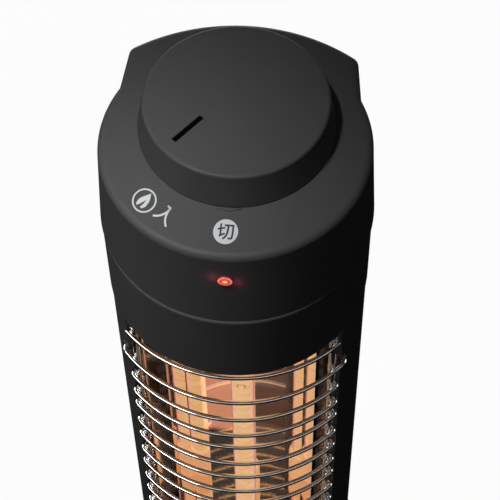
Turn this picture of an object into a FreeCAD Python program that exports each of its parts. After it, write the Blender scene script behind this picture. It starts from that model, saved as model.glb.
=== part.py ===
import FreeCAD, Part
import math
import os
from FreeCAD import Vector

# Halogen tower heater. Sizes are in millimetres, angles in degrees.
# The column's axis is the Z axis, the floor is z = 0 and the heater faces -Y.

# Column seen from above: a round front with a tapered block behind it
BODY_RADIUS = 50.0
SIDE_INSET = 2.9
SIDE_TAPER_DEG = 5.8
REAR_DEPTH = 6.0
REAR_ARC_SHARE = 1.416
REAR_CORNER_RADIUS = 4.0
WALL = 2.2
BAND_STEP = 0.4
BAND_EDGE_RADIUS = 1.2

# Clearances and overruns
SEAM_GAP = 0.3
FIT_GAP = 0.2
RUNNING_GAP = 0.05
SCREW_HOLE_GAP = 0.2
OVERRUN = 2.0
FAR = 4.0 * BODY_RADIUS
SIDE_HALF_WIDTH = BODY_RADIUS - SIDE_INSET
REAR_REACH = BODY_RADIUS + REAR_DEPTH
REAR_ARC_RADIUS = REAR_ARC_SHARE * BODY_RADIUS

# Heights
TOP_FACE_HEIGHT = 420.0
HEAD_HEIGHT = 39.0
VISOR_HEIGHT = 39.0
BASE_TOP_HEIGHT = 28.0
APRON_HEIGHT = 76.0
COLUMN_TOP_Z = TOP_FACE_HEIGHT - HEAD_HEIGHT
WINDOW_TOP_Z = COLUMN_TOP_Z - VISOR_HEIGHT
WINDOW_LOW_Z = BASE_TOP_HEIGHT + APRON_HEIGHT

# Head
HEAD_SETBACK = 1.2
HEAD_TOP_TUCK = 1.4
HEAD_LOW_FLARE = 0.6
HEAD_EDGE_RADIUS = 2.6
HEAD_TOP_WALL = 2.5
LIP_WALL = 1.4
LIP_DEPTH = 5.0
LIP_SHELF = 2.0
PIP_WIDTH = 9.0
PIP_REACH = 1.4
PIP_HEIGHT = 0.4

# Dial
KNOB_Y = 8.3
KNOB_BASE_RADIUS = 35.2
KNOB_TOP_RADIUS = 32.9
KNOB_HEIGHT = 15.0
KNOB_LIFT = 0.5
KNOB_EDGE_RADIUS = 1.2
KNOB_WALL = 2.0
HUB_RADIUS = 6.5
HUB_LIFT = 5.0
RIB_COUNT = 6
RIB_THICKNESS = 1.4
POINTER_ANGLE_DEG = -39.4
POINTER_START = 13.4
POINTER_LENGTH = 13.9
POINTER_SIDE = -3.5
POINTER_WIDTH = 2.0
POINTER_DEPTH = 0.7

# Rotary switch under the dial
SWITCH_SIDE = 26.0
SWITCH_DEPTH = 18.0
NECK_RADIUS = 5.0
NECK_RISE = 4.0
NUT_ACROSS_FLATS = 14.0
NUT_HEIGHT = 2.2
SHAFT_RADIUS = 3.0
SHAFT_FLAT_DEPTH = 0.8
SHAFT_LENGTH = 23.0
SHAFT_FLAT_LENGTH = 9.0
TAB_LENGTH = 3.0
TAB_WIDTH = 4.0
TAB_THICKNESS = 0.8
TAB_SPACING = 14.0
LED_TAB_SPACING = 5.0
LED_TAB_WIDTH = 2.4

# Pilot light in the head's front wall
LED_DROP = 13.2
LENS_RADIUS = 2.7
LENS_FLANGE_RADIUS = 4.0
LENS_FLANGE = 0.8
LENS_PROUD = 0.7
LENS_SEAT_GAP = 0.6
LENS_EDGE_RADIUS = 0.6
LED_RADIUS = 2.5
LED_LENGTH = 7.0
BOARD_WIDTH = 16.0
BOARD_HEIGHT = 12.0
BOARD_THICKNESS = 1.2
BOARD_RAIL = 1.6
BOARD_RAIL_DEPTH = 4.0

# Window of the front shell, with notches for the guard's hooks
WINDOW_HALF_ANGLE_DEG = 57.0
NOTCH_HALF_ANGLE_DEG = 63.5
LEDGE_HALF_ANGLE_DEG = 62.0
LEDGE_REACH = 8.0
LEDGE_THICKNESS = 2.0

# Wire guard
GUARD_RADIUS_SHARE = 1.112
GUARD_CENTRE_SHARE = 0.158
WIRE_RADIUS = 0.95
ROD_RADIUS = 1.3
WELD_SINK = 0.08
GUARD_INSET = 6.4
HOOK_STEP = 20.3
WIRE_STEP_SHARES = (1.10, 1.03, 0.81, 1.14, 0.96, 1.07, 0.92, 1.08,
                    0.98, 0.98, 0.98, 0.98, 0.98, 0.98)
ROD_ANGLE_DEG = 45.5
PLAIN_END_ANGLE_DEG = 47.0
WRAP_TURN_DEG = 130.0
HOOK_RADIUS = 4.5
HOOK_ANGLE_DEG = 48.8
HOOK_TURN_DEG = 116.0
ROD_END_GAP = 0.5

# Reflector, a folded sheet; places are on its bright face
SHEET = 0.6
REFLECTOR_OVERLAP = 20.0
FLANGE_ANGLE_DEG = 59.1
FLANGE_GAP = 0.3
FLANGE_WIDTH = 3.9
WAIST_HALF_WIDTH = 31.4
WAIST_Y = 3.1
SHOULDER_HALF_WIDTH = 26.2
SHOULDER_Y = 7.7
BACK_HALF_WIDTH = 18.1
BACK_Y = 13.4
BACK_FOLD_Y = 12.2
PLATE_EDGE_GAP = 0.4

# Lamp
LAMP_Y = -1.0
TUBE_RADIUS = 5.0
TUBE_WALL = 1.0
TIP_DROP = 170.0
TIP_RADIUS = 1.7
TIP_REACH = 1.5
CAP_RADIUS = 6.5
CAP_LENGTH = 32.0
CAP_OUTSIDE = 8.0
CAP_SOCKET = 8.0
CAP_BORE_RADIUS = 1.4
GROOVE_DEPTH = 0.9
CLIP_THICKNESS = 1.0
CLIP_RADIUS = 12.0
FILAMENT_RADIUS = 1.1
SPACER_COUNT = 7
SPACER_THICKNESS = 0.6
PIN_RADIUS = 1.2
PIN_OUTSIDE = 8.0

# Thermal fuse on the upper end plate
FUSE_X = -18.0
FUSE_RADIUS = 2.0
FUSE_LENGTH = 12.0
FUSE_LEAD_RADIUS = 0.6
FUSE_LEAD = 4.0
FUSE_CLIP_LENGTH = 5.0
FUSE_CLIP_WALL = 0.8
FUSE_CLIP_FOOT = 3.0

# Rear cover
LAP_DEPTH = 5.0
LAP_WALL = 1.4
COVER_SCREW_SIDE_INSET = 11.1
COVER_SCREW_INSET = 25.0
COVER_BOSS_RADIUS = 3.5
COVER_BOSS_LENGTH = 12.0
COVER_SLEEVE_RADIUS = 4.5
COVER_SCREW_BITE = 9.0
BOSS_WEB = 2.0
VENT_HALF_WIDTH = 22.0
VENT_HEIGHT = 2.8
VENT_PITCH = 6.5
VENT_COUNT = 6
VENT_ROUND_SHARE = 0.98
UPPER_VENT_DROP = 14.0
LOWER_VENT_RISE = 42.0
GRIP_HALF_WIDTH = 30.0
GRIP_HEIGHT = 30.0
GRIP_DROP = 62.0
GRIP_DEPTH = 18.0
GRIP_CORNER_RADIUS = 6.0
BUSH_RISE = 14.0
BUSH_BORE_RADIUS = 3.4
BUSH_NECK_RADIUS = 5.0
BUSH_FLANGE_RADIUS = 7.0
BUSH_FLANGE = 1.6

# Foot
BASE_RADIUS = 72.0
BASE_FLAT_INSET = 8.0
BASE_EDGE_HEIGHT = 12.0
BASE_CROWN_INSET = 1.7
BASE_CROWN_DROP = 5.6
BASE_WALL = 2.4
BASE_RIM_LIFT = 2.0
FOOT_HEIGHT = 3.0
FOOT_RADIUS = 7.0
FOOT_DRAFT = 0.8
FOOT_CIRCLE_INSET = 16.0
FOOT_COUNT = 4
PLATE_INSET = 3.5
PLATE_THICKNESS = 1.2
BASE_SCREW_INSET = 14.0
BASE_SCREW_COUNT = 4
BASE_BOSS_RADIUS = 3.5
SPIGOT_WALL = 1.6
SPIGOT_HEIGHT = 6.0

# Posts and screws
POST_RADIUS = 3.5
POST_INSET = 4.2
POST_ANGLE_DEG = 45.0
SCREW_RADIUS = 1.45
SCREW_HEAD_RADIUS = 2.8
SCREW_HEAD_HEIGHT = 2.0
SCREW_LENGTH = 10.0
PILOT_GAP = 0.05

# Tip-over switch in the foot
TIP_SWITCH_Y = 14.0
PLUNGER_RADIUS = 4.2
PLUNGER_TRAVEL = 4.0
COLLAR_RADIUS = 5.1
COLLAR_THICKNESS = 2.0
PLUNGER_PIN_RADIUS = 2.1
PLUNGER_GAP = 0.1
PLUNGER_EDGE_RADIUS = 0.8
HOUSING_WALL = 1.8
HOUSING_FLANGE_RADIUS = 11.0
HOUSING_FLANGE = 1.6
SPRING_LENGTH = 4.4
SPRING_WIRE_RADIUS = 0.35
SPRING_TURNS = 3
TURN_ARC_PAIRS = 4
MICRO_LENGTH = 20.0
MICRO_WIDTH = 6.4
MICRO_BUTTON_RADIUS = 1.2
MICRO_BUTTON = 0.6
CHEEK_WALL = 1.6
CHEEK_WIDTH = 10.0

# Terminal block and leads
BLOCK_SETBACK = 18.0
BLOCK_WIDTH = 30.0
BLOCK_DEPTH = 14.0
BLOCK_HEIGHT = 14.0
BLOCK_HOLE_RADIUS = 1.6
BLOCK_ENTRY = 3.0
LEAD_RADIUS = 1.1
LED_LEAD_RADIUS = 0.7
LEAD_BEND = 4.0
LEAD_STANDOFF = 7.0
LEAD_HOLE_RADIUS = 2.2
LEAD_END_GAP = 0.1

# Worked-out heights and places
UP = Vector(0, 0, 1)
DOWN = Vector(0, 0, -1)
REARWARD = Vector(0, 1, 0)
FORWARD = Vector(0, -1, 0)
COLUMN_GROW = -BAND_STEP
INNER_GROW = COLUMN_GROW - WALL
INNER_RADIUS = BODY_RADIUS + INNER_GROW
LIP_GROW = INNER_GROW - FIT_GAP
POST_CIRCLE_RADIUS = INNER_RADIUS - POST_INSET
COVER_SCREW_X = SIDE_HALF_WIDTH - COVER_SCREW_SIDE_INSET
GUARD_RADIUS = GUARD_RADIUS_SHARE * BODY_RADIUS
GUARD_CENTRE_Y = GUARD_CENTRE_SHARE * BODY_RADIUS
BASE_FLAT_RADIUS = BASE_RADIUS - BASE_FLAT_INSET
BASE_CROWN_RADIUS = BASE_RADIUS - BASE_CROWN_INSET
BASE_CROWN_HEIGHT = BASE_TOP_HEIGHT - BASE_CROWN_DROP
BLOCK_Y = REAR_REACH - BLOCK_SETBACK
BASE_SCREW_CIRCLE_RADIUS = BASE_RADIUS - BASE_SCREW_INSET
FOOT_CIRCLE_RADIUS = BASE_RADIUS - FOOT_CIRCLE_INSET
PLATE_RADIUS = BASE_RADIUS - PLATE_INSET
REFLECTOR_TOP_Z = WINDOW_TOP_Z + REFLECTOR_OVERLAP
REFLECTOR_LOW_Z = WINDOW_LOW_Z - REFLECTOR_OVERLAP
UPPER_PLATE_TOP_Z = REFLECTOR_TOP_Z + SHEET
LOWER_PLATE_LOW_Z = REFLECTOR_LOW_Z - SHEET
UPPER_LEDGE_TOP_Z = UPPER_PLATE_TOP_Z + LEDGE_THICKNESS
LOWER_LEDGE_LOW_Z = LOWER_PLATE_LOW_Z - LEDGE_THICKNESS
HEAD_LOW_Z = COLUMN_TOP_Z + SEAM_GAP
HEAD_CEILING_Z = TOP_FACE_HEIGHT - HEAD_TOP_WALL
SWITCH_LOW_Z = HEAD_CEILING_Z - SWITCH_DEPTH
LED_Z = TOP_FACE_HEIGHT - LED_DROP
BASE_CEILING_Z = BASE_TOP_HEIGHT - BASE_WALL
PLATE_TOP_Z = FOOT_HEIGHT + PLATE_THICKNESS
WRAP_RADIUS = ROD_RADIUS + WIRE_RADIUS - WELD_SINK
SCREW_HOLE_RADIUS = SCREW_RADIUS + SCREW_HOLE_GAP
PILOT_RADIUS = SCREW_RADIUS + PILOT_GAP
LENS_HOLE_RADIUS = LENS_RADIUS + FIT_GAP / 2
COLLAR_LOW_Z = PLATE_TOP_Z + PLUNGER_TRAVEL + SEAM_GAP
COLLAR_TOP_Z = COLLAR_LOW_Z + COLLAR_THICKNESS
SPRING_TOP_Z = COLLAR_TOP_Z + SPRING_LENGTH
HOUSING_TOP_Z = SPRING_TOP_Z + HOUSING_WALL
MICRO_LOW_Z = HOUSING_TOP_Z + MICRO_BUTTON + PLUNGER_GAP
MICRO_MIDDLE_Z = (MICRO_LOW_Z + BASE_CEILING_Z - FIT_GAP) / 2
SIDE_SLOPE = math.tan(math.radians(SIDE_TAPER_DEG))


def split_place():
    """Distance behind the axis at which the round front meets the rear block's sides."""
    lean = 1 + SIDE_SLOPE ** 2
    half = SIDE_HALF_WIDTH * SIDE_SLOPE
    room = half ** 2 - lean * (SIDE_HALF_WIDTH ** 2 - BODY_RADIUS ** 2)
    return (half + math.sqrt(room)) / lean


SPLIT_Y = split_place()


def around(angle_deg, radius, centre_y=0, z=0, centre_x=0):
    """A point on a circle, with the angle counted from the front towards +X."""
    angle = math.radians(angle_deg)
    return Vector(centre_x + radius * math.sin(angle), centre_y - radius * math.cos(angle), z)


def box(x0, x1, y0, y1, z0, z1):
    return Part.makeBox(x1 - x0, y1 - y0, z1 - z0, Vector(x0, y0, z0))


def rod(radius, start, end):
    """Round bar between two points."""
    return Part.makeCylinder(radius, (end - start).Length, start, end - start)


def upright(radius, z0, z1, x=0, y=0):
    return rod(radius, Vector(x, y, z0), Vector(x, y, z1))


def prism(points, z0, z1):
    """Upright prism on a closed polygon of plan points."""
    corners = [Vector(x, y, z0) for x, y in points]
    face = Part.Face(Part.makePolygon(corners + corners[:1]))
    return face.extrude(Vector(0, 0, z1 - z0))


def wedge(half_angle_deg, z0, z1):
    """Everything in front of the axis between two equal angles either side."""
    right = around(half_angle_deg, FAR)
    return prism([(0, 0), (right.x, right.y), (-right.x, right.y)], z0, z1)


def mirrored(shape):
    """The same shape on the other side of the middle plane."""
    return shape.mirror(Vector(0, 0, 0), Vector(1, 0, 0))


def both_sides(shape):
    return [shape, mirrored(shape)]


def place(shape, point, direction):
    """A shape made along +Z, turned to a direction and moved to a point."""
    moved = shape.copy()
    moved.Placement = FreeCAD.Placement(point, FreeCAD.Rotation(UP, direction))
    return moved


def edges_at(shape, z):
    """Edges that lie wholly at one height."""
    fine = SEAM_GAP / BODY_RADIUS
    return [e for e in shape.Edges
            if abs(e.BoundBox.ZMin - z) < fine and abs(e.BoundBox.ZMax - z) < fine]


def edges_along(shape, axis):
    """Straight edges that run along one axis."""
    nearly_along = math.cos(math.radians(1))
    straight = [e for e in shape.Edges if len(e.Vertexes) == 2]
    return [e for e in straight if abs(e.tangentAt(e.FirstParameter).dot(axis)) > nearly_along]


def export(name, *shapes):
    """Write one piece, or a group of like pieces, under its own name."""
    whole = shapes[0] if len(shapes) == 1 else Part.makeCompound(list(shapes))
    whole.exportStep("parts/" + name + ".step")


def rear_outline(grow, z):
    """Plan outline of the rear block, pushed out by grow: tapered sides, round corners, arc back."""
    lean = math.sqrt(1 + SIDE_SLOPE ** 2)
    side = SIDE_HALF_WIDTH + grow * lean
    arc_y = REAR_REACH - REAR_ARC_RADIUS
    arc_radius = REAR_ARC_RADIUS + grow
    inner_side = side - REAR_CORNER_RADIUS * lean
    inner_arc = arc_radius - REAR_CORNER_RADIUS
    half = inner_side * SIDE_SLOPE + arc_y
    room = half ** 2 - lean ** 2 * (inner_side ** 2 + arc_y ** 2 - inner_arc ** 2)
    corner_y = (half + math.sqrt(room)) / lean ** 2
    corner = Vector(inner_side - SIDE_SLOPE * corner_y, corner_y, z)
    to_side = Vector(1, SIDE_SLOPE, 0).normalize()
    to_arc = (corner - Vector(0, arc_y, z)).normalize()
    to_middle = (to_side + to_arc).normalize()
    on_side = corner + to_side * REAR_CORNER_RADIUS
    on_corner = corner + to_middle * REAR_CORNER_RADIUS
    on_arc = corner + to_arc * REAR_CORNER_RADIUS
    flip = lambda p: Vector(-p.x, p.y, p.z)
    start = Vector(side, 0, z)
    return Part.Wire([
        Part.LineSegment(start, on_side).toShape(),
        Part.Arc(on_side, on_corner, on_arc).toShape(),
        Part.Arc(on_arc, Vector(0, arc_y + arc_radius, z), flip(on_arc)).toShape(),
        Part.Arc(flip(on_arc), flip(on_corner), flip(on_side)).toShape(),
        Part.LineSegment(flip(on_side), flip(start)).toShape(),
        Part.LineSegment(flip(start), start).toShape()])


def column_solid(low_grow, top_grow, z0, z1, centre_y=0, edge_radius=0):
    """Solid of the column's plan between two heights, straight or drafted, with a round top edge."""
    low, top = BODY_RADIUS + low_grow, BODY_RADIUS + top_grow
    centre = Vector(0, centre_y, z0)
    if low == top:
        front = Part.makeCylinder(low, z1 - z0, centre)
    else:
        front = Part.makeCone(low, top, z1 - z0, centre)
    rear = Part.makeLoft([rear_outline(low_grow, z0), rear_outline(top_grow, z1)], True, True)
    if edge_radius:
        front = front.makeFillet(edge_radius, edges_at(front, z1))
        outer = [e for e in edges_at(rear, z1) if e.BoundBox.YMax > edge_radius]
        rear = rear.makeFillet(edge_radius, outer)
    return front.fuse(rear).removeSplitter()


def column_ring(outer_grow, inner_grow, z0, z1):
    """Rim that follows the column's plan."""
    return column_solid(outer_grow, outer_grow, z0, z1).cut(column_solid(inner_grow, inner_grow, z0, z1))


def column_shell():
    """Whole wall of the column, with the slightly wider band at its top."""
    band = column_solid(0, 0, WINDOW_TOP_Z, COLUMN_TOP_Z)
    lower = column_solid(COLUMN_GROW, COLUMN_GROW, BASE_TOP_HEIGHT, WINDOW_TOP_Z)
    inner = column_solid(INNER_GROW, INNER_GROW, BASE_TOP_HEIGHT, COLUMN_TOP_Z)
    return band.fuse(lower).removeSplitter().cut(inner)


def post_places():
    """Plan points of the posts that tie head, column and foot together."""
    return [around(sign * POST_ANGLE_DEG, POST_CIRCLE_RADIUS) for sign in (1, -1)]


def cover_screw_heights():
    return (BASE_TOP_HEIGHT + COVER_SCREW_INSET, COLUMN_TOP_Z - COVER_SCREW_INSET)


def screw(length):
    """Pan-head screw: the seat under its head is at the origin and it drives along +Z."""
    head = Part.makeCylinder(SCREW_HEAD_RADIUS, SCREW_HEAD_HEIGHT, Vector(0, 0, -SCREW_HEAD_HEIGHT))
    head = head.makeFillet(SCREW_HEAD_HEIGHT / 2, edges_at(head, -SCREW_HEAD_HEIGHT))
    return head.fuse(Part.makeCylinder(SCREW_RADIUS, length))


def front_shell():
    """Visor band, side walls and apron around the window, with ledges and bosses inside."""
    keep = box(-FAR, FAR, -FAR, SPLIT_Y, 0, TOP_FACE_HEIGHT)
    shell = column_shell().common(keep)
    rim = [e for e in edges_at(shell, COLUMN_TOP_Z) if e.BoundBox.YMin < -INNER_RADIUS - BAND_STEP]
    shell = shell.makeFillet(BAND_EDGE_RADIUS, rim)
    shell = shell.cut(wedge(WINDOW_HALF_ANGLE_DEG, WINDOW_LOW_Z, WINDOW_TOP_Z))
    notch_half = WIRE_RADIUS + FIT_GAP
    for z in hook_heights():
        shell = shell.cut(wedge(NOTCH_HALF_ANGLE_DEG, z - notch_half, z + notch_half))
    for z0 in (UPPER_PLATE_TOP_Z, LOWER_LEDGE_LOW_Z):
        shell = shell.fuse(ledge(z0))
    for z in cover_screw_heights():
        for part in both_sides(cover_boss(z)):
            shell = shell.fuse(part)
    return shell.removeSplitter()


def ledge(z0):
    """Shelf inside the front shell that an end plate is screwed to."""
    z1 = z0 + LEDGE_THICKNESS
    outer = INNER_RADIUS + WALL / 2
    shelf = upright(outer, z0, z1).cut(upright(INNER_RADIUS - LEDGE_REACH, z0, z1))
    shelf = shelf.common(wedge(LEDGE_HALF_ANGLE_DEG, z0, z1))
    for p in post_places():
        shelf = shelf.cut(upright(SCREW_HOLE_RADIUS, z0, z1, p.x, p.y))
    return shelf


def cover_boss(z):
    """Boss on the front shell's side wall for one screw of the rear cover."""
    end = SPLIT_Y - SEAM_GAP
    start = Vector(COVER_SCREW_X, end - COVER_BOSS_LENGTH, z)
    boss = rod(COVER_BOSS_RADIUS, start, Vector(COVER_SCREW_X, end, z))
    web = box(COVER_SCREW_X, FAR, start.y, end, z - BOSS_WEB / 2, z + BOSS_WEB / 2)
    web = web.common(upright(INNER_RADIUS + WALL / 2, z - BOSS_WEB, z + BOSS_WEB))
    pilot = rod(PILOT_RADIUS, start, Vector(COVER_SCREW_X, end + OVERRUN, z))
    return boss.fuse(web).cut(pilot)


def rear_cover():
    """Back of the column: lapped edges, vents, a grip recess and the cord inlet."""
    keep = box(-FAR, FAR, SPLIT_Y + SEAM_GAP, FAR, 0, TOP_FACE_HEIGHT)
    cover = column_shell().common(keep)
    cover = cover.fuse(lap_tongue())
    cover = grip_recess(cover)
    for z in cover_screw_heights():
        for side in (1, -1):
            cover = cover_screw_sleeve(cover, side * COVER_SCREW_X, z)
    for i in range(VENT_COUNT):
        cover = cover.cut(vent_slot(COLUMN_TOP_Z - UPPER_VENT_DROP - i * VENT_PITCH))
        cover = cover.cut(vent_slot(BASE_TOP_HEIGHT + LOWER_VENT_RISE + i * VENT_PITCH))
    bush_hole = rod(BUSH_NECK_RADIUS + FIT_GAP / 2, bush_point(BODY_RADIUS / 2), bush_point(FAR))
    return cover.cut(bush_hole).removeSplitter()


def lap_tongue():
    """Inner lip of the rear cover that reaches behind the front shell's edges."""
    z0 = BASE_TOP_HEIGHT + SPIGOT_HEIGHT + SEAM_GAP
    z1 = COLUMN_TOP_Z - LIP_DEPTH - SEAM_GAP
    tongue_grow = INNER_GROW - FIT_GAP
    tongue = column_ring(tongue_grow, tongue_grow - LAP_WALL, z0, z1)
    root = column_ring(INNER_GROW + WALL / 2, tongue_grow - LAP_WALL, z0, z1)
    tongue = tongue.common(box(-FAR, FAR, SPLIT_Y - LAP_DEPTH, SPLIT_Y + SEAM_GAP, z0, z1))
    root = root.common(box(-FAR, FAR, SPLIT_Y + SEAM_GAP, SPLIT_Y + LAP_DEPTH, z0, z1))
    lip = tongue.fuse(root)
    for z in cover_screw_heights():
        gap = BOSS_WEB / 2 + SEAM_GAP
        lip = lip.cut(box(-FAR, FAR, SPLIT_Y - LAP_DEPTH - OVERRUN, SPLIT_Y + SEAM_GAP, z - gap, z + gap))
    return lip


def grip_recess(cover):
    """Pocket for the fingers in the upper back, with its own walls."""
    z1 = COLUMN_TOP_Z - GRIP_DROP
    z0 = z1 - GRIP_HEIGHT
    back = REAR_REACH - GRIP_DEPTH
    shell = column_solid(COLUMN_GROW, COLUMN_GROW, z0 - WALL, z1 + WALL)
    walls = box(-GRIP_HALF_WIDTH - WALL, GRIP_HALF_WIDTH + WALL, back - WALL, FAR, z0 - WALL, z1 + WALL)
    walls = walls.makeFillet(GRIP_CORNER_RADIUS + WALL, edges_along(walls, REARWARD))
    pocket = box(-GRIP_HALF_WIDTH, GRIP_HALF_WIDTH, back, FAR, z0, z1)
    pocket = pocket.makeFillet(GRIP_CORNER_RADIUS, edges_along(pocket, REARWARD))
    return cover.fuse(walls.common(shell)).cut(pocket)


def cover_screw_sleeve(cover, x, z):
    """Sunk sleeve through the rear cover for one long-reach screw."""
    front = Vector(x, SPLIT_Y, z)
    seat = Vector(x, SPLIT_Y + SCREW_LENGTH - COVER_SCREW_BITE + LAP_DEPTH, z)
    back = Vector(x, FAR, z)
    envelope = column_solid(COLUMN_GROW, COLUMN_GROW, z - BODY_RADIUS, z + BODY_RADIUS)
    sleeve = rod(COVER_SLEEVE_RADIUS, front, back).common(envelope)
    hole = rod(SCREW_HOLE_RADIUS, front - REARWARD * OVERRUN, back)
    well = rod(SCREW_HEAD_RADIUS + FIT_GAP, seat, back)
    return cover.fuse(sleeve).cut(hole).cut(well)


def vent_slot(z):
    """One slot with round ends through the back wall."""
    half = VENT_HEIGHT / 2
    slot = box(-VENT_HALF_WIDTH, VENT_HALF_WIDTH, REAR_ARC_RADIUS / 2, FAR, z - half, z + half)
    return slot.makeFillet(half * VENT_ROUND_SHARE, edges_along(slot, REARWARD))


def bush_point(y):
    return Vector(0, y, BASE_TOP_HEIGHT + BUSH_RISE)


def cord_bush():
    """Flanged bush in the rear cover, where the mains cord enters."""
    outside = REAR_REACH + COLUMN_GROW
    inside = outside - WALL - FIT_GAP
    bush = rod(BUSH_NECK_RADIUS, bush_point(inside - BUSH_FLANGE), bush_point(outside + BUSH_FLANGE))
    flange = rod(BUSH_FLANGE_RADIUS, bush_point(outside), bush_point(outside + BUSH_FLANGE))
    rim = [e for e in flange.Edges if e.BoundBox.YMin > outside + BUSH_FLANGE / 2]
    flange = flange.makeFillet(BUSH_FLANGE / 2, rim)
    catch = rod(BUSH_NECK_RADIUS + BUSH_FLANGE / 2, bush_point(inside - BUSH_FLANGE), bush_point(inside))
    bore = rod(BUSH_BORE_RADIUS, bush_point(0), bush_point(FAR))
    return bush.fuse([flange, catch]).removeSplitter().cut(bore)


def head_cap():
    """Moulded top: drafted wall, flat ring face, posts, and a lip that locates it on the column."""
    outer = column_solid(HEAD_LOW_FLARE, -HEAD_TOP_TUCK, HEAD_LOW_Z, TOP_FACE_HEIGHT,
                         HEAD_SETBACK, HEAD_EDGE_RADIUS)
    inner = column_solid(HEAD_LOW_FLARE - WALL, -HEAD_TOP_TUCK - WALL, HEAD_LOW_Z, HEAD_CEILING_Z,
                         HEAD_SETBACK)
    cap = outer.cut(inner)
    cap = cap.fuse(head_lip()).fuse(dial_pip())
    post_top = HEAD_CEILING_Z + HEAD_TOP_WALL / 2
    for p in post_places():
        cap = cap.fuse(upright(POST_RADIUS, UPPER_LEDGE_TOP_Z, post_top, p.x, p.y))
    for rail in both_sides(board_rail()):
        cap = cap.fuse(rail)
    for p in post_places():
        pilot_top = UPPER_LEDGE_TOP_Z + SCREW_LENGTH
        cap = cap.cut(upright(PILOT_RADIUS, UPPER_LEDGE_TOP_Z, pilot_top, p.x, p.y))
    neck_hole = upright(NECK_RADIUS + FIT_GAP, HEAD_CEILING_Z, TOP_FACE_HEIGHT, 0, KNOB_Y)
    lens_hole = rod(LENS_HOLE_RADIUS, Vector(0, board_front_y(), LED_Z), Vector(0, -FAR, LED_Z))
    return cap.cut(neck_hole).cut(lens_hole).removeSplitter()


def head_lip():
    """Rim under the head that drops inside the column's top, with the shelf that carries it."""
    z0 = COLUMN_TOP_Z - LIP_DEPTH
    z1 = HEAD_LOW_Z + LIP_SHELF
    rim = column_ring(LIP_GROW, LIP_GROW - LIP_WALL, z0, z1)
    wall_middle = HEAD_LOW_FLARE - WALL / 2
    shelf = column_solid(wall_middle, wall_middle, HEAD_LOW_Z, z1, HEAD_SETBACK)
    shelf = shelf.cut(column_solid(LIP_GROW - LIP_WALL, LIP_GROW - LIP_WALL, HEAD_LOW_Z, z1))
    return rim.fuse(shelf)


def dial_pip():
    """Small raised arrow at the OFF place, just outside the dial's edge."""
    root = KNOB_Y - KNOB_BASE_RADIUS - SEAM_GAP
    tip = root - PIP_REACH
    return prism([(-PIP_WIDTH / 2, root), (0, tip), (PIP_WIDTH / 2, root)],
                 TOP_FACE_HEIGHT - PIP_HEIGHT, TOP_FACE_HEIGHT + PIP_HEIGHT)


def wall_y_at(z):
    """Front of the head's drafted outer wall at a height."""
    share = (z - HEAD_LOW_Z) / (TOP_FACE_HEIGHT - HEAD_LOW_Z)
    radius = BODY_RADIUS + HEAD_LOW_FLARE - share * (HEAD_LOW_FLARE + HEAD_TOP_TUCK)
    return HEAD_SETBACK - radius


def lens_back_y():
    return wall_y_at(LED_Z) + WALL + LENS_SEAT_GAP + LENS_FLANGE


def board_front_y():
    return lens_back_y() + LEAD_END_GAP + LED_LENGTH


def board_rail():
    """Rail beside the pilot light's board, hung from the head's ceiling."""
    x0 = BOARD_WIDTH / 2 + FIT_GAP
    y0 = board_front_y() + BOARD_THICKNESS / 2 - BOARD_RAIL_DEPTH / 2
    return box(x0, x0 + BOARD_RAIL, y0, y0 + BOARD_RAIL_DEPTH,
               LED_Z - BOARD_HEIGHT / 2, HEAD_CEILING_Z + HEAD_TOP_WALL / 2)


def led_lens():
    """Clear red lens with a domed front and a flange inside the wall."""
    front = Vector(0, wall_y_at(LED_Z) - LENS_PROUD, LED_Z)
    back = Vector(0, lens_back_y(), LED_Z)
    flange_front = back - REARWARD * LENS_FLANGE
    stem = rod(LENS_RADIUS, front, back)
    rim = [e for e in stem.Edges if e.BoundBox.YMax < front.y + LENS_PROUD / 2]
    stem = stem.makeFillet(LENS_EDGE_RADIUS, rim)
    return stem.fuse(rod(LENS_FLANGE_RADIUS, flange_front, back)).removeSplitter()


def led_lamp():
    """Light-emitting diode on its small board, close behind the lens."""
    front = Vector(0, lens_back_y() + LEAD_END_GAP, LED_Z)
    back = Vector(0, board_front_y(), LED_Z)
    bulb = rod(LED_RADIUS, front, back)
    rim = [e for e in bulb.Edges if e.BoundBox.YMax < front.y + LED_RADIUS / 2]
    bulb = bulb.makeFillet(LED_RADIUS / 2, rim)
    board = box(-BOARD_WIDTH / 2, BOARD_WIDTH / 2, back.y, back.y + BOARD_THICKNESS,
                LED_Z - BOARD_HEIGHT / 2, LED_Z + BOARD_HEIGHT / 2)
    return bulb.fuse(board)


def dial_knob():
    """Hollow tapered dial with a sunk pointer line, a hub for the shaft and stiffening ribs."""
    low = TOP_FACE_HEIGHT + KNOB_LIFT
    top = TOP_FACE_HEIGHT + KNOB_HEIGHT
    ceiling = top - KNOB_WALL
    centre = Vector(0, KNOB_Y, low)
    outer = Part.makeCone(KNOB_BASE_RADIUS, KNOB_TOP_RADIUS, top - low, centre)
    outer = outer.makeFillet(KNOB_EDGE_RADIUS, edges_at(outer, top))
    inner = Part.makeCone(KNOB_BASE_RADIUS - KNOB_WALL, KNOB_TOP_RADIUS - KNOB_WALL, ceiling - low, centre)
    knob = outer.cut(inner)
    hub_low = low + HUB_LIFT
    for i in range(RIB_COUNT):
        rib = box(0, KNOB_BASE_RADIUS, -RIB_THICKNESS / 2, RIB_THICKNESS / 2, hub_low, top)
        rib.rotate(Vector(0, 0, 0), UP, 360.0 * i / RIB_COUNT)
        rib.translate(Vector(0, KNOB_Y, 0))
        knob = knob.fuse(rib.common(outer))
    knob = knob.fuse(upright(HUB_RADIUS, hub_low, ceiling + KNOB_WALL / 2, 0, KNOB_Y))
    bore = shaft_section(SHAFT_RADIUS + RUNNING_GAP, RUNNING_GAP, hub_low, shaft_top() + RUNNING_GAP)
    return knob.cut(bore).cut(pointer_groove(top)).removeSplitter()


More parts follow.
